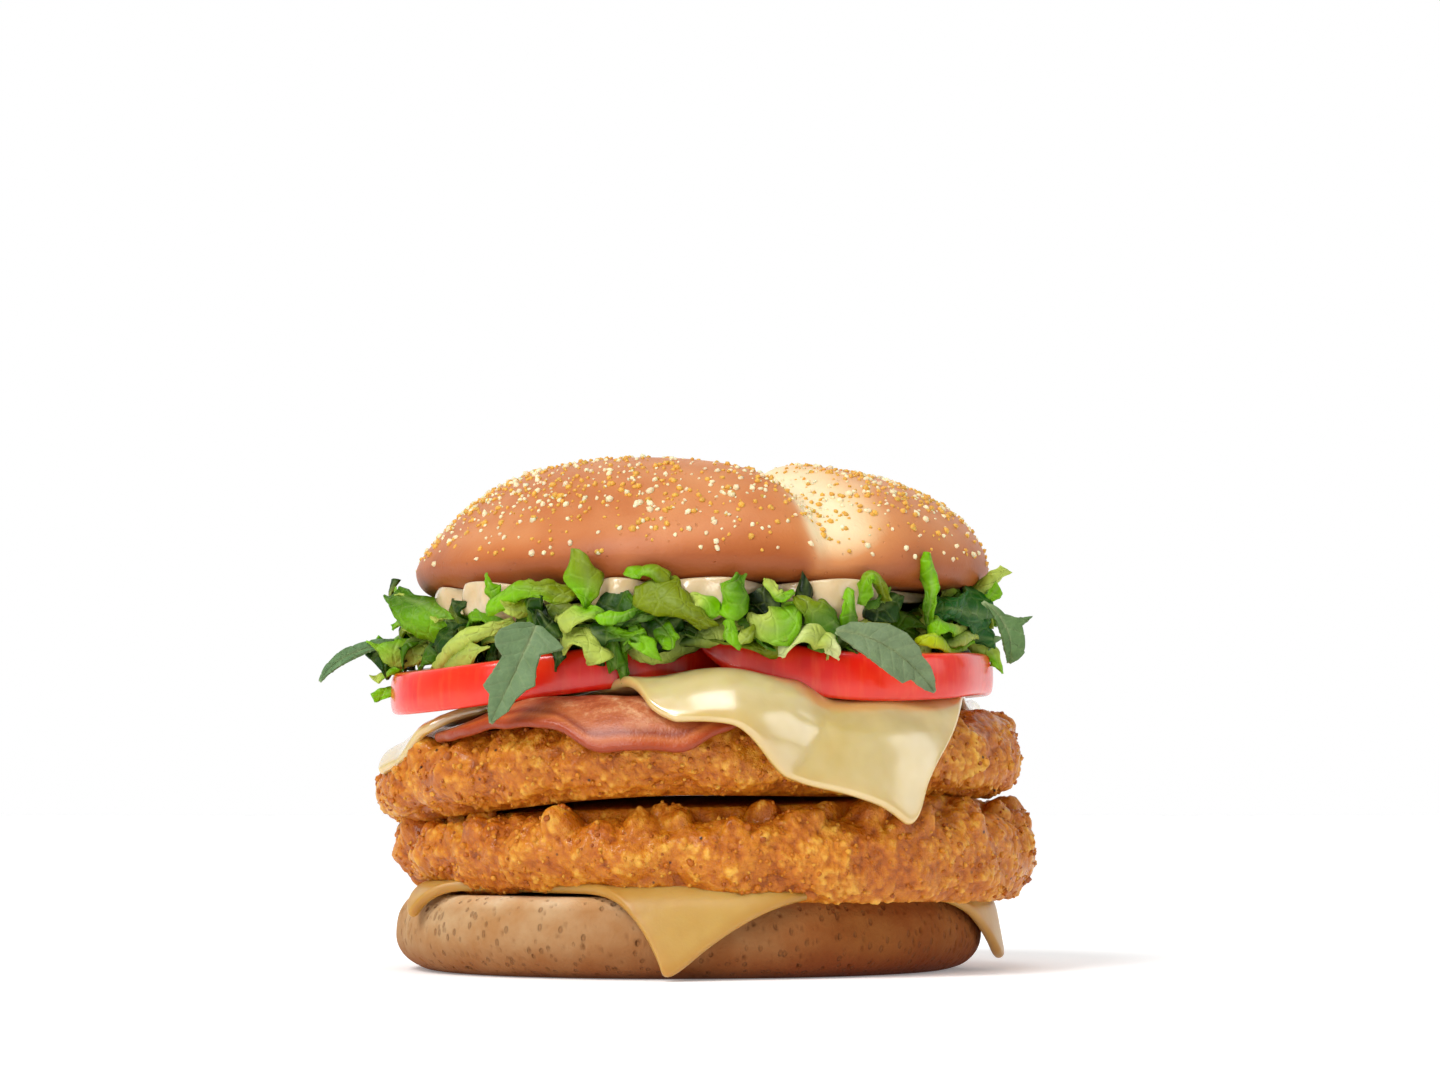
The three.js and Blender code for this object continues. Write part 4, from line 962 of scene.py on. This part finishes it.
def curve_through(start, middle, end, t):
    """Points of a bent line through three points."""
    start, middle, end = (np.array(point, dtype=float) for point in (start, middle, end))
    pull = 2 * middle - (start + end) / 2
    t = t[:, None]
    return (1 - t) ** 2 * start + 2 * t * (1 - t) * pull + t ** 2 * end


def spin(vectors, axes, angles):
    """Vectors turned round axes."""
    c, s = np.cos(angles)[:, None], np.sin(angles)[:, None]
    along = axes * (axes * vectors).sum(axis=-1)[:, None]
    return vectors * c + np.cross(axes, vectors) * s + along * (1 - c)


def blade(line, facing, twist):
    """The tangent, the way across and the way out along the middle line of a leaf."""
    tangent = unit(np.gradient(line, axis=0))
    facing = np.broadcast_to(np.array(facing, dtype=float), tangent.shape)
    across = unit(np.cross(tangent, facing))
    across = spin(across, tangent, twist * np.linspace(-0.5, 0.5, len(line)))
    return tangent, across, unit(np.cross(across, tangent))


def sheet_skin(grid, thickness):
    """The points and quads of a thin closed sheet about a grid of points (rows, columns, 3), and which
    quads are its cut edge."""
    rows, columns = grid.shape[:2]
    to_face = unit(np.cross(np.gradient(grid, axis=1), np.gradient(grid, axis=0))) * thickness / 2
    points = np.concatenate([(grid + to_face).reshape(-1, 3), (grid - to_face).reshape(-1, 3)])
    row, column = np.meshgrid(np.arange(rows - 1), np.arange(columns - 1), indexing="ij")
    a = (row * columns + column).ravel()
    quads = np.stack([a, a + 1, a + columns + 1, a + columns], axis=-1)
    half = rows * columns
    loop = np.concatenate([np.arange(columns - 1), columns - 1 + columns * np.arange(rows - 1),
                           half - 1 - np.arange(columns - 1), columns * np.arange(rows - 1, 0, -1)])
    after = np.roll(loop, -1)
    rim = np.stack([after, loop, loop + half, after + half], axis=-1)
    cut_edge = np.arange(2 * len(quads) + len(rim)) >= 2 * len(quads)
    return points, np.concatenate([quads, quads[:, ::-1] + half, rim]), cut_edge


def shred(ends, width, facing, curl, twist, root_tint, tip_tint, rng, rows=26, columns=10):
    """One shred: its points, quads, cut edge, colours, and the place of each point on the leaf."""
    v = np.linspace(0, 1, rows)
    u = np.linspace(-1, 1, columns)
    line = curve_through(*ends, v)
    length = np.linalg.norm(np.diff(line, axis=0), axis=1).sum()
    tangent, across, out = blade(line, facing, twist)
    # It sways along its length, narrows at both ends and is uneven in between.
    sway = 0.04 * length * np.sin(rng.uniform(0, 6) + rng.uniform(4, 7) * v)[:, None]
    line = line + out * sway
    half = width / 2 * (0.86 + 0.22 * np.sin(rng.uniform(0, 6) + rng.uniform(3, 6) * v))
    half = half * (0.55 + 0.45 * ease(0, 0.12, v)) * mix(1, rng.uniform(0.3, 0.9), ease(0.6, 1, v))
    # It curls across, slants at the ends where it was cut, and ruffles and puckers all over.
    bend = curl * u[None, :] * (1 + 0.4 * np.sin(rng.uniform(0, 6) + 5 * v))[:, None]
    side = half[:, None] * np.sin(bend) / curl
    rise = half[:, None] * (np.cos(bend) - 1) / curl * 1.3
    slant = rng.uniform(-0.9, 0.9) * half[:, None] * u[None, :] * (2 * abs(v - 0.5)[:, None]) ** 2
    ruffle = 0.13 * width * np.sin(rng.uniform(5, 9) * v[:, None] + 2.5 * u[None, :] + rng.uniform(0, 6))
    rise = rise + ruffle * (0.3 + abs(u[None, :]) ** 2)
    grid = line[:, None] + across[:, None] * side[..., None] + out[:, None] * rise[..., None]
    grid = grid + tangent[:, None] * slant[..., None]
    flat = grid.reshape(-1, 3)
    pucker = 0.5 * grain(flat, 3.0, 60) + 0.26 * grain(flat, 1.4, 61)
    ragged = 0.55 * grain(flat, 1.9, 62) * np.tile(abs(u) ** 4, rows)
    grid = grid + out[:, None] * pucker.reshape(rows, columns, 1)
    grid = grid + across[:, None] * (ragged.reshape(rows, columns) * np.sign(u))[..., None]
    points, quads, cut_edge = sheet_skin(grid, LEAF_THICKNESS)
    root, tip = (np.array(srgb(*LEAF_TINTS[tint])[:3]) for tint in (root_tint, tip_tint))
    blend = np.clip(v[:, None] + 0.25 * u[None, :] * rng.choice([-1, 1]), 0, 1)[..., None]
    tint = mix(root, tip, ease(0.15, 0.85, blend)) * rng.uniform(0.88, 1.1)
    vein = rng.uniform(-0.5, 0.5) + 0.2 * np.sin(3 * v)[:, None]
    on_vein = np.exp(-(((u[None, :] - vein) / 0.13) ** 2))[..., None]
    tint = mix(tint, np.array([0.4, 0.52, 0.16]), 0.35 * on_vein)
    place = np.stack([np.broadcast_to(u * width / 2, (rows, columns)),
                      np.broadcast_to((v * length)[:, None], (rows, columns)),
                      np.full((rows, columns), rng.uniform(0, 400))], axis=-1)
    tint, place = (np.tile(mark.reshape(-1, 3), (2, 1)) for mark in (tint, place))
    return points, quads, cut_edge, tint, place


def heaped_shred(rng):
    """The ends, width and bend of one shred that lies, hangs or stands somewhere round the heap."""
    turn = rng.uniform(0, math.tau)
    front = max(0, -math.sin(turn)) > 0.35 or abs(math.cos(turn)) > 0.75
    seen = math.sin(turn) < -0.3
    low, high = (54.5, 59.5) if seen else (56.5, 62.5) if front else (49.0, 62.5)
    z = rng.uniform(low, high)
    kind = rng.choice(["along", "out", "droop", "stand"], p=[0.42, 0.22, 0.28, 0.08])
    way = rng.choice([-1, 1])

    def at(reach, turn, z):
        reach -= 2.5 * seen
        return (SALAD_X + reach * math.cos(turn), reach * math.sin(turn), z)

    lean = rng.uniform(-0.2, 0.9)
    if kind == "along":
        swing = rng.uniform(0.14, 0.26) * way
        ends = (at(rng.uniform(43, 48), turn - swing, z + rng.uniform(-2.5, 2.5)),
                at(rng.uniform(47, 51.5), turn, z + rng.uniform(-1, 1)),
                at(rng.uniform(43, 51), turn + swing, z + rng.uniform(-3, 2.5)))
    elif kind == "out":
        z = min(z, 61)
        swing = rng.uniform(-0.1, 0.1)
        ends = (at(38, turn, z), at(46, turn + swing, z + rng.uniform(-1, 1.5)),
                at(rng.uniform(49, 53.5), turn + 2 * swing, z + rng.uniform(-3, 2.5)))
        lean = rng.choice([-1, 1]) * rng.uniform(1.2, 3)
    elif kind == "droop":
        swing = rng.uniform(-0.14, 0.14)
        ends = (at(44, turn, z), at(rng.uniform(49.5, 51), turn + swing, z - 0.5),
                at(rng.uniform(50.5, 52.5), turn + 1.5 * swing, max(z - rng.uniform(4, 9), low - 6)))
    else:
        z = 56 if seen else rng.uniform(59, 61)
        ends = (at(49, turn, z), at(51.8, turn + 0.03 * way, z + 3),
                at(52.6, turn + 0.07 * way, z + rng.uniform(5, 8)))
        lean = 0
    facing = (math.cos(turn), math.sin(turn), lean)
    # Shreds seen in front take the two darkest tints more often: painted shade in the gaps of the heap.
    odds = [0.1, 0.14, 0.1, 0.24, 0.24, 0.18] if seen else [0.2, 0.23, 0.15, 0.2, 0.14, 0.08]
    root, tip = rng.choice(["pale", "bright", "olive", "mid", "dark", "deep"], 2, p=odds)
    width, curl, twist = rng.uniform(3.4, 7.0), rng.uniform(0.4, 1.0), rng.uniform(-1.2, 1.2)
    return ends, width, facing, curl, twist, root, tip


def merged(parts):
    """Several meshes' points, quads and marks as one."""
    points, quads, cut_edges, tints, places = zip(*parts)
    first = np.concatenate([[0], np.cumsum([len(part) for part in points])[:-1]])
    return (np.concatenate(points), np.concatenate([q + f for q, f in zip(quads, first)]),
            np.concatenate(cut_edges), np.concatenate(tints), np.concatenate(places))


def leaf_finish(name, vein_size, vein_tint, vein_depth, roughness):
    """A leaf's material: painted colour, a net of pale veins, and some light through it."""
    finish, shader = new_finish(name, Roughness=roughness, Specular_IOR_Level=0.24)
    tree = finish.node_tree
    net = tree.nodes.new("ShaderNodeTexVoronoi")
    net.feature = "DISTANCE_TO_EDGE"
    net.inputs["Scale"].default_value = 1 / vein_size
    tree.links.new(painted(finish, "place", "Vector"), net.inputs["Vector"])
    veins = level(finish, net.outputs["Distance"], 0.0, 0.12, 1.0, 0.0)
    faint = level(finish, net.outputs["Distance"], 0.0, 0.12, vein_tint, 0.0)
    tone = painted(finish, "tint", "Color")
    blotches = level(finish, mottle(finish, 2.5, 3), 0.4, 0.72, 0, 0.3)
    tone = tinted(finish, blotches, tone, (0.6, 0.7, 0.5, 1))
    tone = tinted(finish, faint, tone, (0.3, 0.36, 0.1, 1), "ADD")
    colour_from(finish, shader, tone)
    relief(finish, shader, (veins, -vein_depth), (mottle(finish, 1.0, 3), 0.3))
    through = tree.nodes.new("ShaderNodeBsdfTranslucent")
    tree.links.new(tone, through.inputs["Color"])
    both = tree.nodes.new("ShaderNodeMixShader")
    both.inputs["Fac"].default_value = 0.28
    tree.links.new(shader.outputs["BSDF"], both.inputs[1])
    tree.links.new(through.outputs["BSDF"], both.inputs[2])
    tree.links.new(both.outputs["Shader"], tree.nodes["Material Output"].inputs["Surface"])
    return finish


HEAPED_SHREDS = 190

lettuce = leaf_finish("lettuce", vein_size=2.6, vein_tint=0.2, vein_depth=0.14, roughness=0.34)
rng = np.random.default_rng(21)
parts = []
for *ends, width, (right, up), curl, twist, root, tip in FRONT_SHREDS:
    ends = [in_front(*point) for point in ends]
    parts.append(shred(ends, width, (right, -0.9, up), curl, twist, root, tip, rng))
parts += [shred(*heaped_shred(rng), rng, rows=18, columns=8) for _ in range(HEAPED_SHREDS)]
points, quads, cut_edges, tints, places = merged(parts)
shreds = new_piece("lettuce_shreds", points, [quads], lettuce, cut_edges, tint=tints, place=places)
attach(shreds, "root")
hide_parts("salad")

# The inside of the heap, a solid painted nearly black as the shade between the shreds, lower behind
# than in front: (share of its radius, height in front, height behind).
turns = round_turns(180)
behind = ease(-0.2, 0.5, np.sin(turns))
levels = [(0.1, 62.6, 62.6), (0.6, 62.6, 62.6), (0.9, 62.4, 62.4), (1.0, 60.5, 60.5), (1.0, 58.0, 53.0),
          (0.93, 56.0, 48.5), (0.6, 56.0, 49.0), (0.1, 57.0, 50.0)]
rings = np.stack([polar_rings(SALAD_X, SALAD_RADIUS * out + 0 * turns, mix(front, back, behind), turns)
                  for out, front, back in levels])
lumps = 0.9 * grain(rings.reshape(-1, 3), 5, 70).reshape(*rings.shape[:2], 1)
rings = rings + lumps * unit(rings - (0, 0, 56))
points, faces = closed_skin(rings)
# Painted shade: the inside is coloured far darker than any leaf.
tints = np.tile(np.array(srgb(*LEAF_TINTS["deep"])[:3]) * 0.7, (len(points), 1))
shaded_core = new_piece("lettuce_inside_shade", points, faces, lettuce, tint=tints, place=points)
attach(shaded_core, "root")
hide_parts("salad")

# ------------------------------------------------------------------------------------------------
# Rocket: four toothed leaves on a pale midrib, grey-green and matt, that lie out over the lettuce.
# ------------------------------------------------------------------------------------------------

# Each leaf: three points of its midrib, the way its face points, how far its halves fold up, its
# colour, and how far each edge is from the midrib along it: (share of the length, millimetres).
ROCKET_LEAVES = {
    "rocket_front_left": (
        [(-24.0, -49.5, 57.0), (-27.2, -51.8, 49.5), (-31.2, -51.2, 41.2)],
        (0, -1, 0.1), 0.25, (122, 148, 104),
        [(0, 1), (0.07, 3.6), (0.14, 5.6), (0.2, 4.4), (0.27, 2.6), (0.4, 2.9), (0.55, 4.0), (0.62, 2.9),
         (0.72, 2.1), (0.85, 1.8), (1, 0.1)],
        [(0, 1), (0.08, 3.2), (0.2, 5.0), (0.29, 5.3), (0.36, 4.6), (0.42, 2.9), (0.6, 3.2), (0.74, 3.6),
         (0.78, 2.1), (0.9, 1.3), (1, 0.1)]),
    "rocket_front_right": (
        [(24.5, -48.5, 56.2), (33.0, -51.8, 53.2), (40.4, -48.0, 46.3)],
        (-0.1, -1, 0.35), 0.3, (128, 148, 108),
        [(0, 0.3), (0.1, 1.6), (0.2, 1.9), (0.4, 3.2), (0.55, 3.4), (0.68, 2.9), (0.74, 2.2), (0.84, 2.0),
         (0.92, 1.2), (1, 0.1)],
        [(0, 0.3), (0.1, 1.7), (0.25, 2.9), (0.42, 3.6), (0.6, 3.8), (0.74, 3.4), (0.79, 1.7), (0.86, 1.7),
         (0.93, 1.1), (1, 0.1)]),
    "rocket_far_left": (
        [(-50.0, -15.0, 55.8), (-57.6, -16.0, 53.6), (-62.6, -16.0, 49.2)],
        (-0.1, -1, 0.5), 0.35, (112, 148, 100),
        [(0, 0.6), (0.2, 0.8), (0.5, 1.2), (0.8, 0.9), (1, 0.1)],
        [(0, 0.6), (0.2, 1.1), (0.5, 1.4), (0.8, 0.9), (1, 0.1)]),
    "rocket_right": (
        [(50.0, -24.5, 62.3), (53.8, -26.5, 57.5), (54.2, -25.5, 51.9)],
        (0.35, -1, 0.1), 0.25, (104, 136, 82),
        [(0, 0.2), (0.2, 0.7), (0.3, 1.0), (0.42, 2.4), (0.47, 5.0), (0.52, 2.6), (0.65, 2.5), (0.85, 2.3),
         (0.95, 1.1), (1, 0.1)],
        [(0, 0.2), (0.2, 0.8), (0.4, 1.2), (0.6, 1.5), (0.8, 1.3), (0.93, 0.6), (1, 0.1)]),
}

ROCKET_THICKNESS = 0.5
BRANCH_SPACING = 2.6

rocket = leaf_finish("rocket", vein_size=1.4, vein_tint=0.07, vein_depth=0.03, roughness=0.5)
for node, (ends, facing, fold, tint, one_edge, other_edge) in ROCKET_LEAVES.items():
    v = np.linspace(0, 1, 110)
    u = np.linspace(-1, 1, 41)
    line = curve_through(*ends, v)
    length = np.linalg.norm(np.diff(line, axis=0), axis=1).sum()
    tangent, across, out = blade(line, facing, 0.25)
    width = np.stack([np.interp(v, *zip(*edge)) for edge in (one_edge, other_edge)])
    side = np.where(u < 0, width[0][:, None], width[1][:, None]) * u
    # The halves fold up from the midrib, which lies in a groove, and wave towards their edges.
    wave = 0.5 * np.sin(9 * v[:, None] + 1.5 * u) * abs(u) ** 2
    rise = fold * abs(side) + 0.35 * wave - 0.25 * np.exp(-((side / 0.25) ** 2))
    grid = line[:, None] + across[:, None] * side[..., None] + out[:, None] * rise[..., None]
    along = (v[:, None] * length - 0.8 * abs(side)) * math.tau / BRANCH_SPACING
    branch = np.maximum(0, np.sin(along + (side > 0) * 1.4)) ** 6
    pucker = 0.25 * grain(grid.reshape(-1, 3), 2.2, 80).reshape(side.shape) - 0.12 * branch
    grid = grid + out[:, None] * pucker[..., None]
    points, quads, cut_edge = sheet_skin(grid, ROCKET_THICKNESS)
    green = np.array(srgb(*tint)[:3])
    pale = np.array(srgb(190, 200, 150)[:3])
    midrib = np.exp(-((side / mix(0.34, 0.14, v)[:, None]) ** 2))[..., None]
    shade = mix(green, pale, 0.75 * midrib + 0.14 * branch[..., None])
    shade = shade * (1 + 0.16 * grain(grid.reshape(-1, 3), 3, 81).reshape(side.shape)[..., None])
    place = np.stack([side, v[:, None] * length + 0 * side, 40 + 0 * side], axis=-1).reshape(-1, 3)
    leaf = new_piece(node + "_leaf", points, [quads], rocket, cut_edge,
                     tint=np.tile(shade.reshape(-1, 3), (2, 1)), place=np.tile(place, (2, 1)))
    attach(leaf, "root")
    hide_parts(node)

# ------------------------------------------------------------------------------------------------
# Sauce: thick cream with mustard, spread under the upper bun, which squeezes it out in soft blobs.
# ------------------------------------------------------------------------------------------------

CROWN_X = 2.7
CROWN_UNDERSIDE = 64.4
CROWN_RADIUS = 49.8
GAP = 0.3
SAUCE_INSET = 8
SAUCE_INNER_RADIUS = 34.0
# Each blob: the way it faces in degrees, how far round it goes, and how far out it comes.
BLOBS = [(-156, 8, 7.4), (-137, 10, 9.6), (-107, 6, 7.4), (-89, 9, 8.2), (-61, 11, 8.6), (30, 9, 7.2),
         (95, 12, 8), (160, 8, 7.4)]


def crown_radius(turn):
    """The upper bun's radius where it is widest, a little uneven."""
    return CROWN_RADIUS + 0.4 * np.sin(2 * turn + 1.5) + 0.3 * np.sin(3 * turn)


turns = round_turns(720)
swell, out = np.zeros(len(turns)), np.zeros(len(turns))
for facing, half_width, blob_reach in BLOBS:
    away = abs((np.degrees(turns) - facing + 540) % 360 - 180)
    here = np.clip(1 - (away / (1.75 * half_width)) ** 2, 0, 1)
    out = np.where(here > swell, blob_reach, out)
    swell = np.maximum(swell, here)
half = mix(0.8, 2.9, swell) * (1 + 0.12 * np.sin(11 * turns + 1) + 0.1 * np.sin(19 * turns))
bend = np.radians(np.linspace(88, -88, 36))[:, None]
radius = crown_radius(turns) - SAUCE_INSET + out * swell + half * (np.cos(bend) - 1)
places = polar_rings(0, radius, 3 * np.sin(bend) + 0 * radius, turns).reshape(-1, 3)
wobble = 1.1 * grain(places, 5, 40).reshape(radius.shape)
radius = radius + wobble * np.cos(bend)
sauce_top = CROWN_UNDERSIDE - GAP
# In front of the bun's undercut the blobs bulge up a little.
squeezed_up = 2.2 * swell ** 2 * ease(-0.6, 0.9, np.sin(bend)) * ease(1, 0.6, np.sin(bend))
height = sauce_top - half + half * np.sin(bend) + squeezed_up
inner = np.full((1, len(turns)), SAUCE_INNER_RADIUS)
radius = np.concatenate([inner, radius, inner])
height = np.concatenate([0 * inner + sauce_top, height, 0 * inner + sauce_top - 1.6])
rings = polar_rings(CROWN_X, radius, height, turns)
points, faces = closed_skin(rings)

sauce_cream, shader = new_finish(
    "mustard_sauce", Roughness=0.22, Specular_IOR_Level=0.5, Subsurface_Weight=0.5,
    Subsurface_Scale=0.003, Subsurface_Radius=(1, 0.7, 0.4), Coat_Weight=0.4, Coat_Roughness=0.12)
tone = patchy(sauce_cream, 4, (216, 192, 152), (204, 176, 130), 0.7)
seeds_and_spice = [(3.1, 0.34, 0.3, (150, 70, 34)), (4.3, 0.3, 0.25, (40, 26, 18)),
                   (5.2, 0.45, 0.2, (212, 84, 24))]
for *spread, speck_tint in seeds_and_spice:
    tone = blended(sauce_cream, dots(sauce_cream, *spread), tone, srgb(*speck_tint))
colour_from(sauce_cream, shader, tone)
relief(sauce_cream, shader, (mottle(sauce_cream, 3), 0.2), (mottle(sauce_cream, 0.8), 0.03))

sauce = new_piece("sauce_layer", points, faces, sauce_cream)
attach(sauce, "root")
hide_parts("sauce")

# ------------------------------------------------------------------------------------------------
# Upper bun: a roll twisted from two strands, so its dome has two lobes with a deep pale crease
# between them. It is glazed and baked golden brown, and its underside is a flat cut face.
# ------------------------------------------------------------------------------------------------

CROWN_UNDERCUT = 4.2
CROWN_HEIGHT = 87.9 - CROWN_UNDERSIDE
CROWN_MIDDLE = np.array([CROWN_X, 0, 0])


def crease_at(y):
    """Where the crease runs: nearly straight back over the dome, and off to the right in front."""
    return 6.4 + 0.5 * np.maximum(0, -13 - y) - 0.1 * np.maximum(0, y)


def crease_depth(x, y):
    """How far the crust sinks at the crease, which is steep on its right behind and on its left in
    front."""
    across = x - crease_at(y)
    front = ease(-12, -38, y)
    spread = np.where(across < 0, mix(14, 4.5, front), mix(5.2, 10, front))
    return mix(4.8, 4.1, front) * np.exp(-((across / spread) ** 2)) + 0.5 * ease(0, 12, across)


def crust(turn, share):
    """A point of the crust: share is 0 at the top of the dome and 1 where it is widest. The left lobe
    is broad and flat on top, and the right one is rounder."""
    bend = share * math.pi / 2
    right = ease(-0.6, 0.6, np.cos(turn))
    fullness = mix(0.47 + 0.32 * np.minimum(share / 0.75, 1) ** 1.5, 0.68, right)
    radius = crown_radius(turn) * np.sin(bend) ** fullness
    rise = (CROWN_HEIGHT - CROWN_UNDERCUT) * np.cos(bend) ** mix(1.4, 1.03, right)
    dent = crease_depth(radius * np.cos(turn), radius * np.sin(turn)) * (0.35 + 0.65 * np.cos(bend))
    out = radius - 0.9 * dent * np.sin(bend)
    z = CROWN_UNDERSIDE + CROWN_UNDERCUT + rise - dent
    return np.stack([CROWN_X + out * np.cos(turn), out * np.sin(turn), z + 0 * turn], axis=-1)


turns = round_turns(600)
shares = np.linspace(0.004, 1, 120)[:, None]
top_rings = crust(turns[None, :] + 0 * shares, shares + 0 * turns[None, :])
rim = top_rings[-1]
rim_radius = np.hypot(rim[:, 0] - CROWN_X, rim[:, 1])
under = []
for drop in np.radians(np.linspace(6, 90, 14)):
    inset = rim_radius - CROWN_UNDERCUT * (1 - math.cos(drop))
    z = mix(rim[:, 2], CROWN_UNDERSIDE, math.sin(drop))
    under.append(np.stack([CROWN_X + inset * np.cos(turns), inset * np.sin(turns), z], axis=-1))
under += [CROWN_MIDDLE + (under[-1] - CROWN_MIDDLE) * (share, share, 1) for share in (0.9, 0.6, 0.2)]
rings = np.concatenate([top_rings, np.stack(under)])
points, faces = closed_skin(rings)

# The crust is pale in the crease and to its right, and darker towards the rim, partly from browning
# and partly painted shade low on the dome.
across = points[:, 0] - crease_at(points[:, 1])
left_width = mix(2.6, 6, ease(-10, 30, points[:, 1]))
valley = np.where(across < 0, np.exp(-(across / left_width) ** 2),
                  np.exp(-(np.maximum(0, across - 4.5) / 9.5) ** 2))
# Painted shade with browning: the dome is darker low down, near the rim.
low = ease(74, 65, points[:, 2])
fade = 0.62 * valley * (1 - 0.35 * low) * (1 - 0.7 * low * ease(0, 20, points[:, 1]))
bake = 0.6 - fade + 0.42 * low + 0.14 * grain(points, 18, 50) + 0.07 * grain(points, 5, 51)

crown_crust, shader = new_finish(
    "glazed_crust", Roughness=0.5, Specular_IOR_Level=0.4, Subsurface_Weight=0.12,
    Subsurface_Scale=0.003, Subsurface_Radius=(1, 0.5, 0.25), Coat_Weight=0.06, Coat_Roughness=0.3)
tone = shades(crown_crust, painted(crown_crust, "bake"), (0.0, (247, 226, 182)),
              (0.25, (236, 196, 146)), (0.5, (210, 138, 82)), (0.7, (190, 110, 54)), (0.95, (160, 80, 28)))
colour_from(crown_crust, shader, tone)
relief(crown_crust, shader, (mottle(crown_crust, 2.5, 4), 0.14), (mottle(crown_crust, 0.5, 3), 0.05),
       (dots(crown_crust, 1.6, 0.2, 0.5), -0.12))

bun_crown = new_piece("crown_bread", points, faces, crown_crust, bake=bake)
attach(bun_crown, "root")
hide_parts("bun_crown")

# ------------------------------------------------------------------------------------------------
# Corn grits: coarse grains of yellow and white maize, strewn over the dough before it is baked. Most
# lie on top of the dome, and few stay on its steep rim.
# ------------------------------------------------------------------------------------------------

GRITS_STREWN = 6000

rng = np.random.default_rng(33)
turn = rng.uniform(0, math.tau, GRITS_STREWN)
share = rng.uniform(0, 1, GRITS_STREWN) ** 0.5
keep = rng.random(GRITS_STREWN) < mix(0.95, 0.1, ease(0.35, 0.95, share))
turn, share = turn[keep], share[keep] * 0.97
centres = crust(turn, share)
sizes = np.exp(rng.normal(math.log(0.42), 0.34, len(turn))).clip(0.2, 0.72)
points, sides = pebbles(centres, sizes, rng)
yellow, cream = np.array(srgb(226, 170, 62)[:3]), np.array(srgb(244, 228, 186)[:3])
grit_tint = np.where(rng.random(len(turn))[:, None] < 0.55, yellow, cream)
grit_tint = grit_tint * rng.uniform(0.85, 1.1, (len(turn), 1))

corn_grit, shader = new_finish("corn_grit", Roughness=0.45, Subsurface_Weight=0.3, Subsurface_Scale=0.001)
specks = level(corn_grit, mottle(corn_grit, 0.8), 0.4, 0.7, 0, 0.25)
tone = blended(corn_grit, specks, painted(corn_grit, "tint", "Color"), srgb(200, 140, 50))
colour_from(corn_grit, shader, tone)

grits = new_piece("corn_grits", points, [sides], corn_grit, tint=np.repeat(grit_tint, 12, axis=0))
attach(grits, "root")
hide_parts("bun_crown")
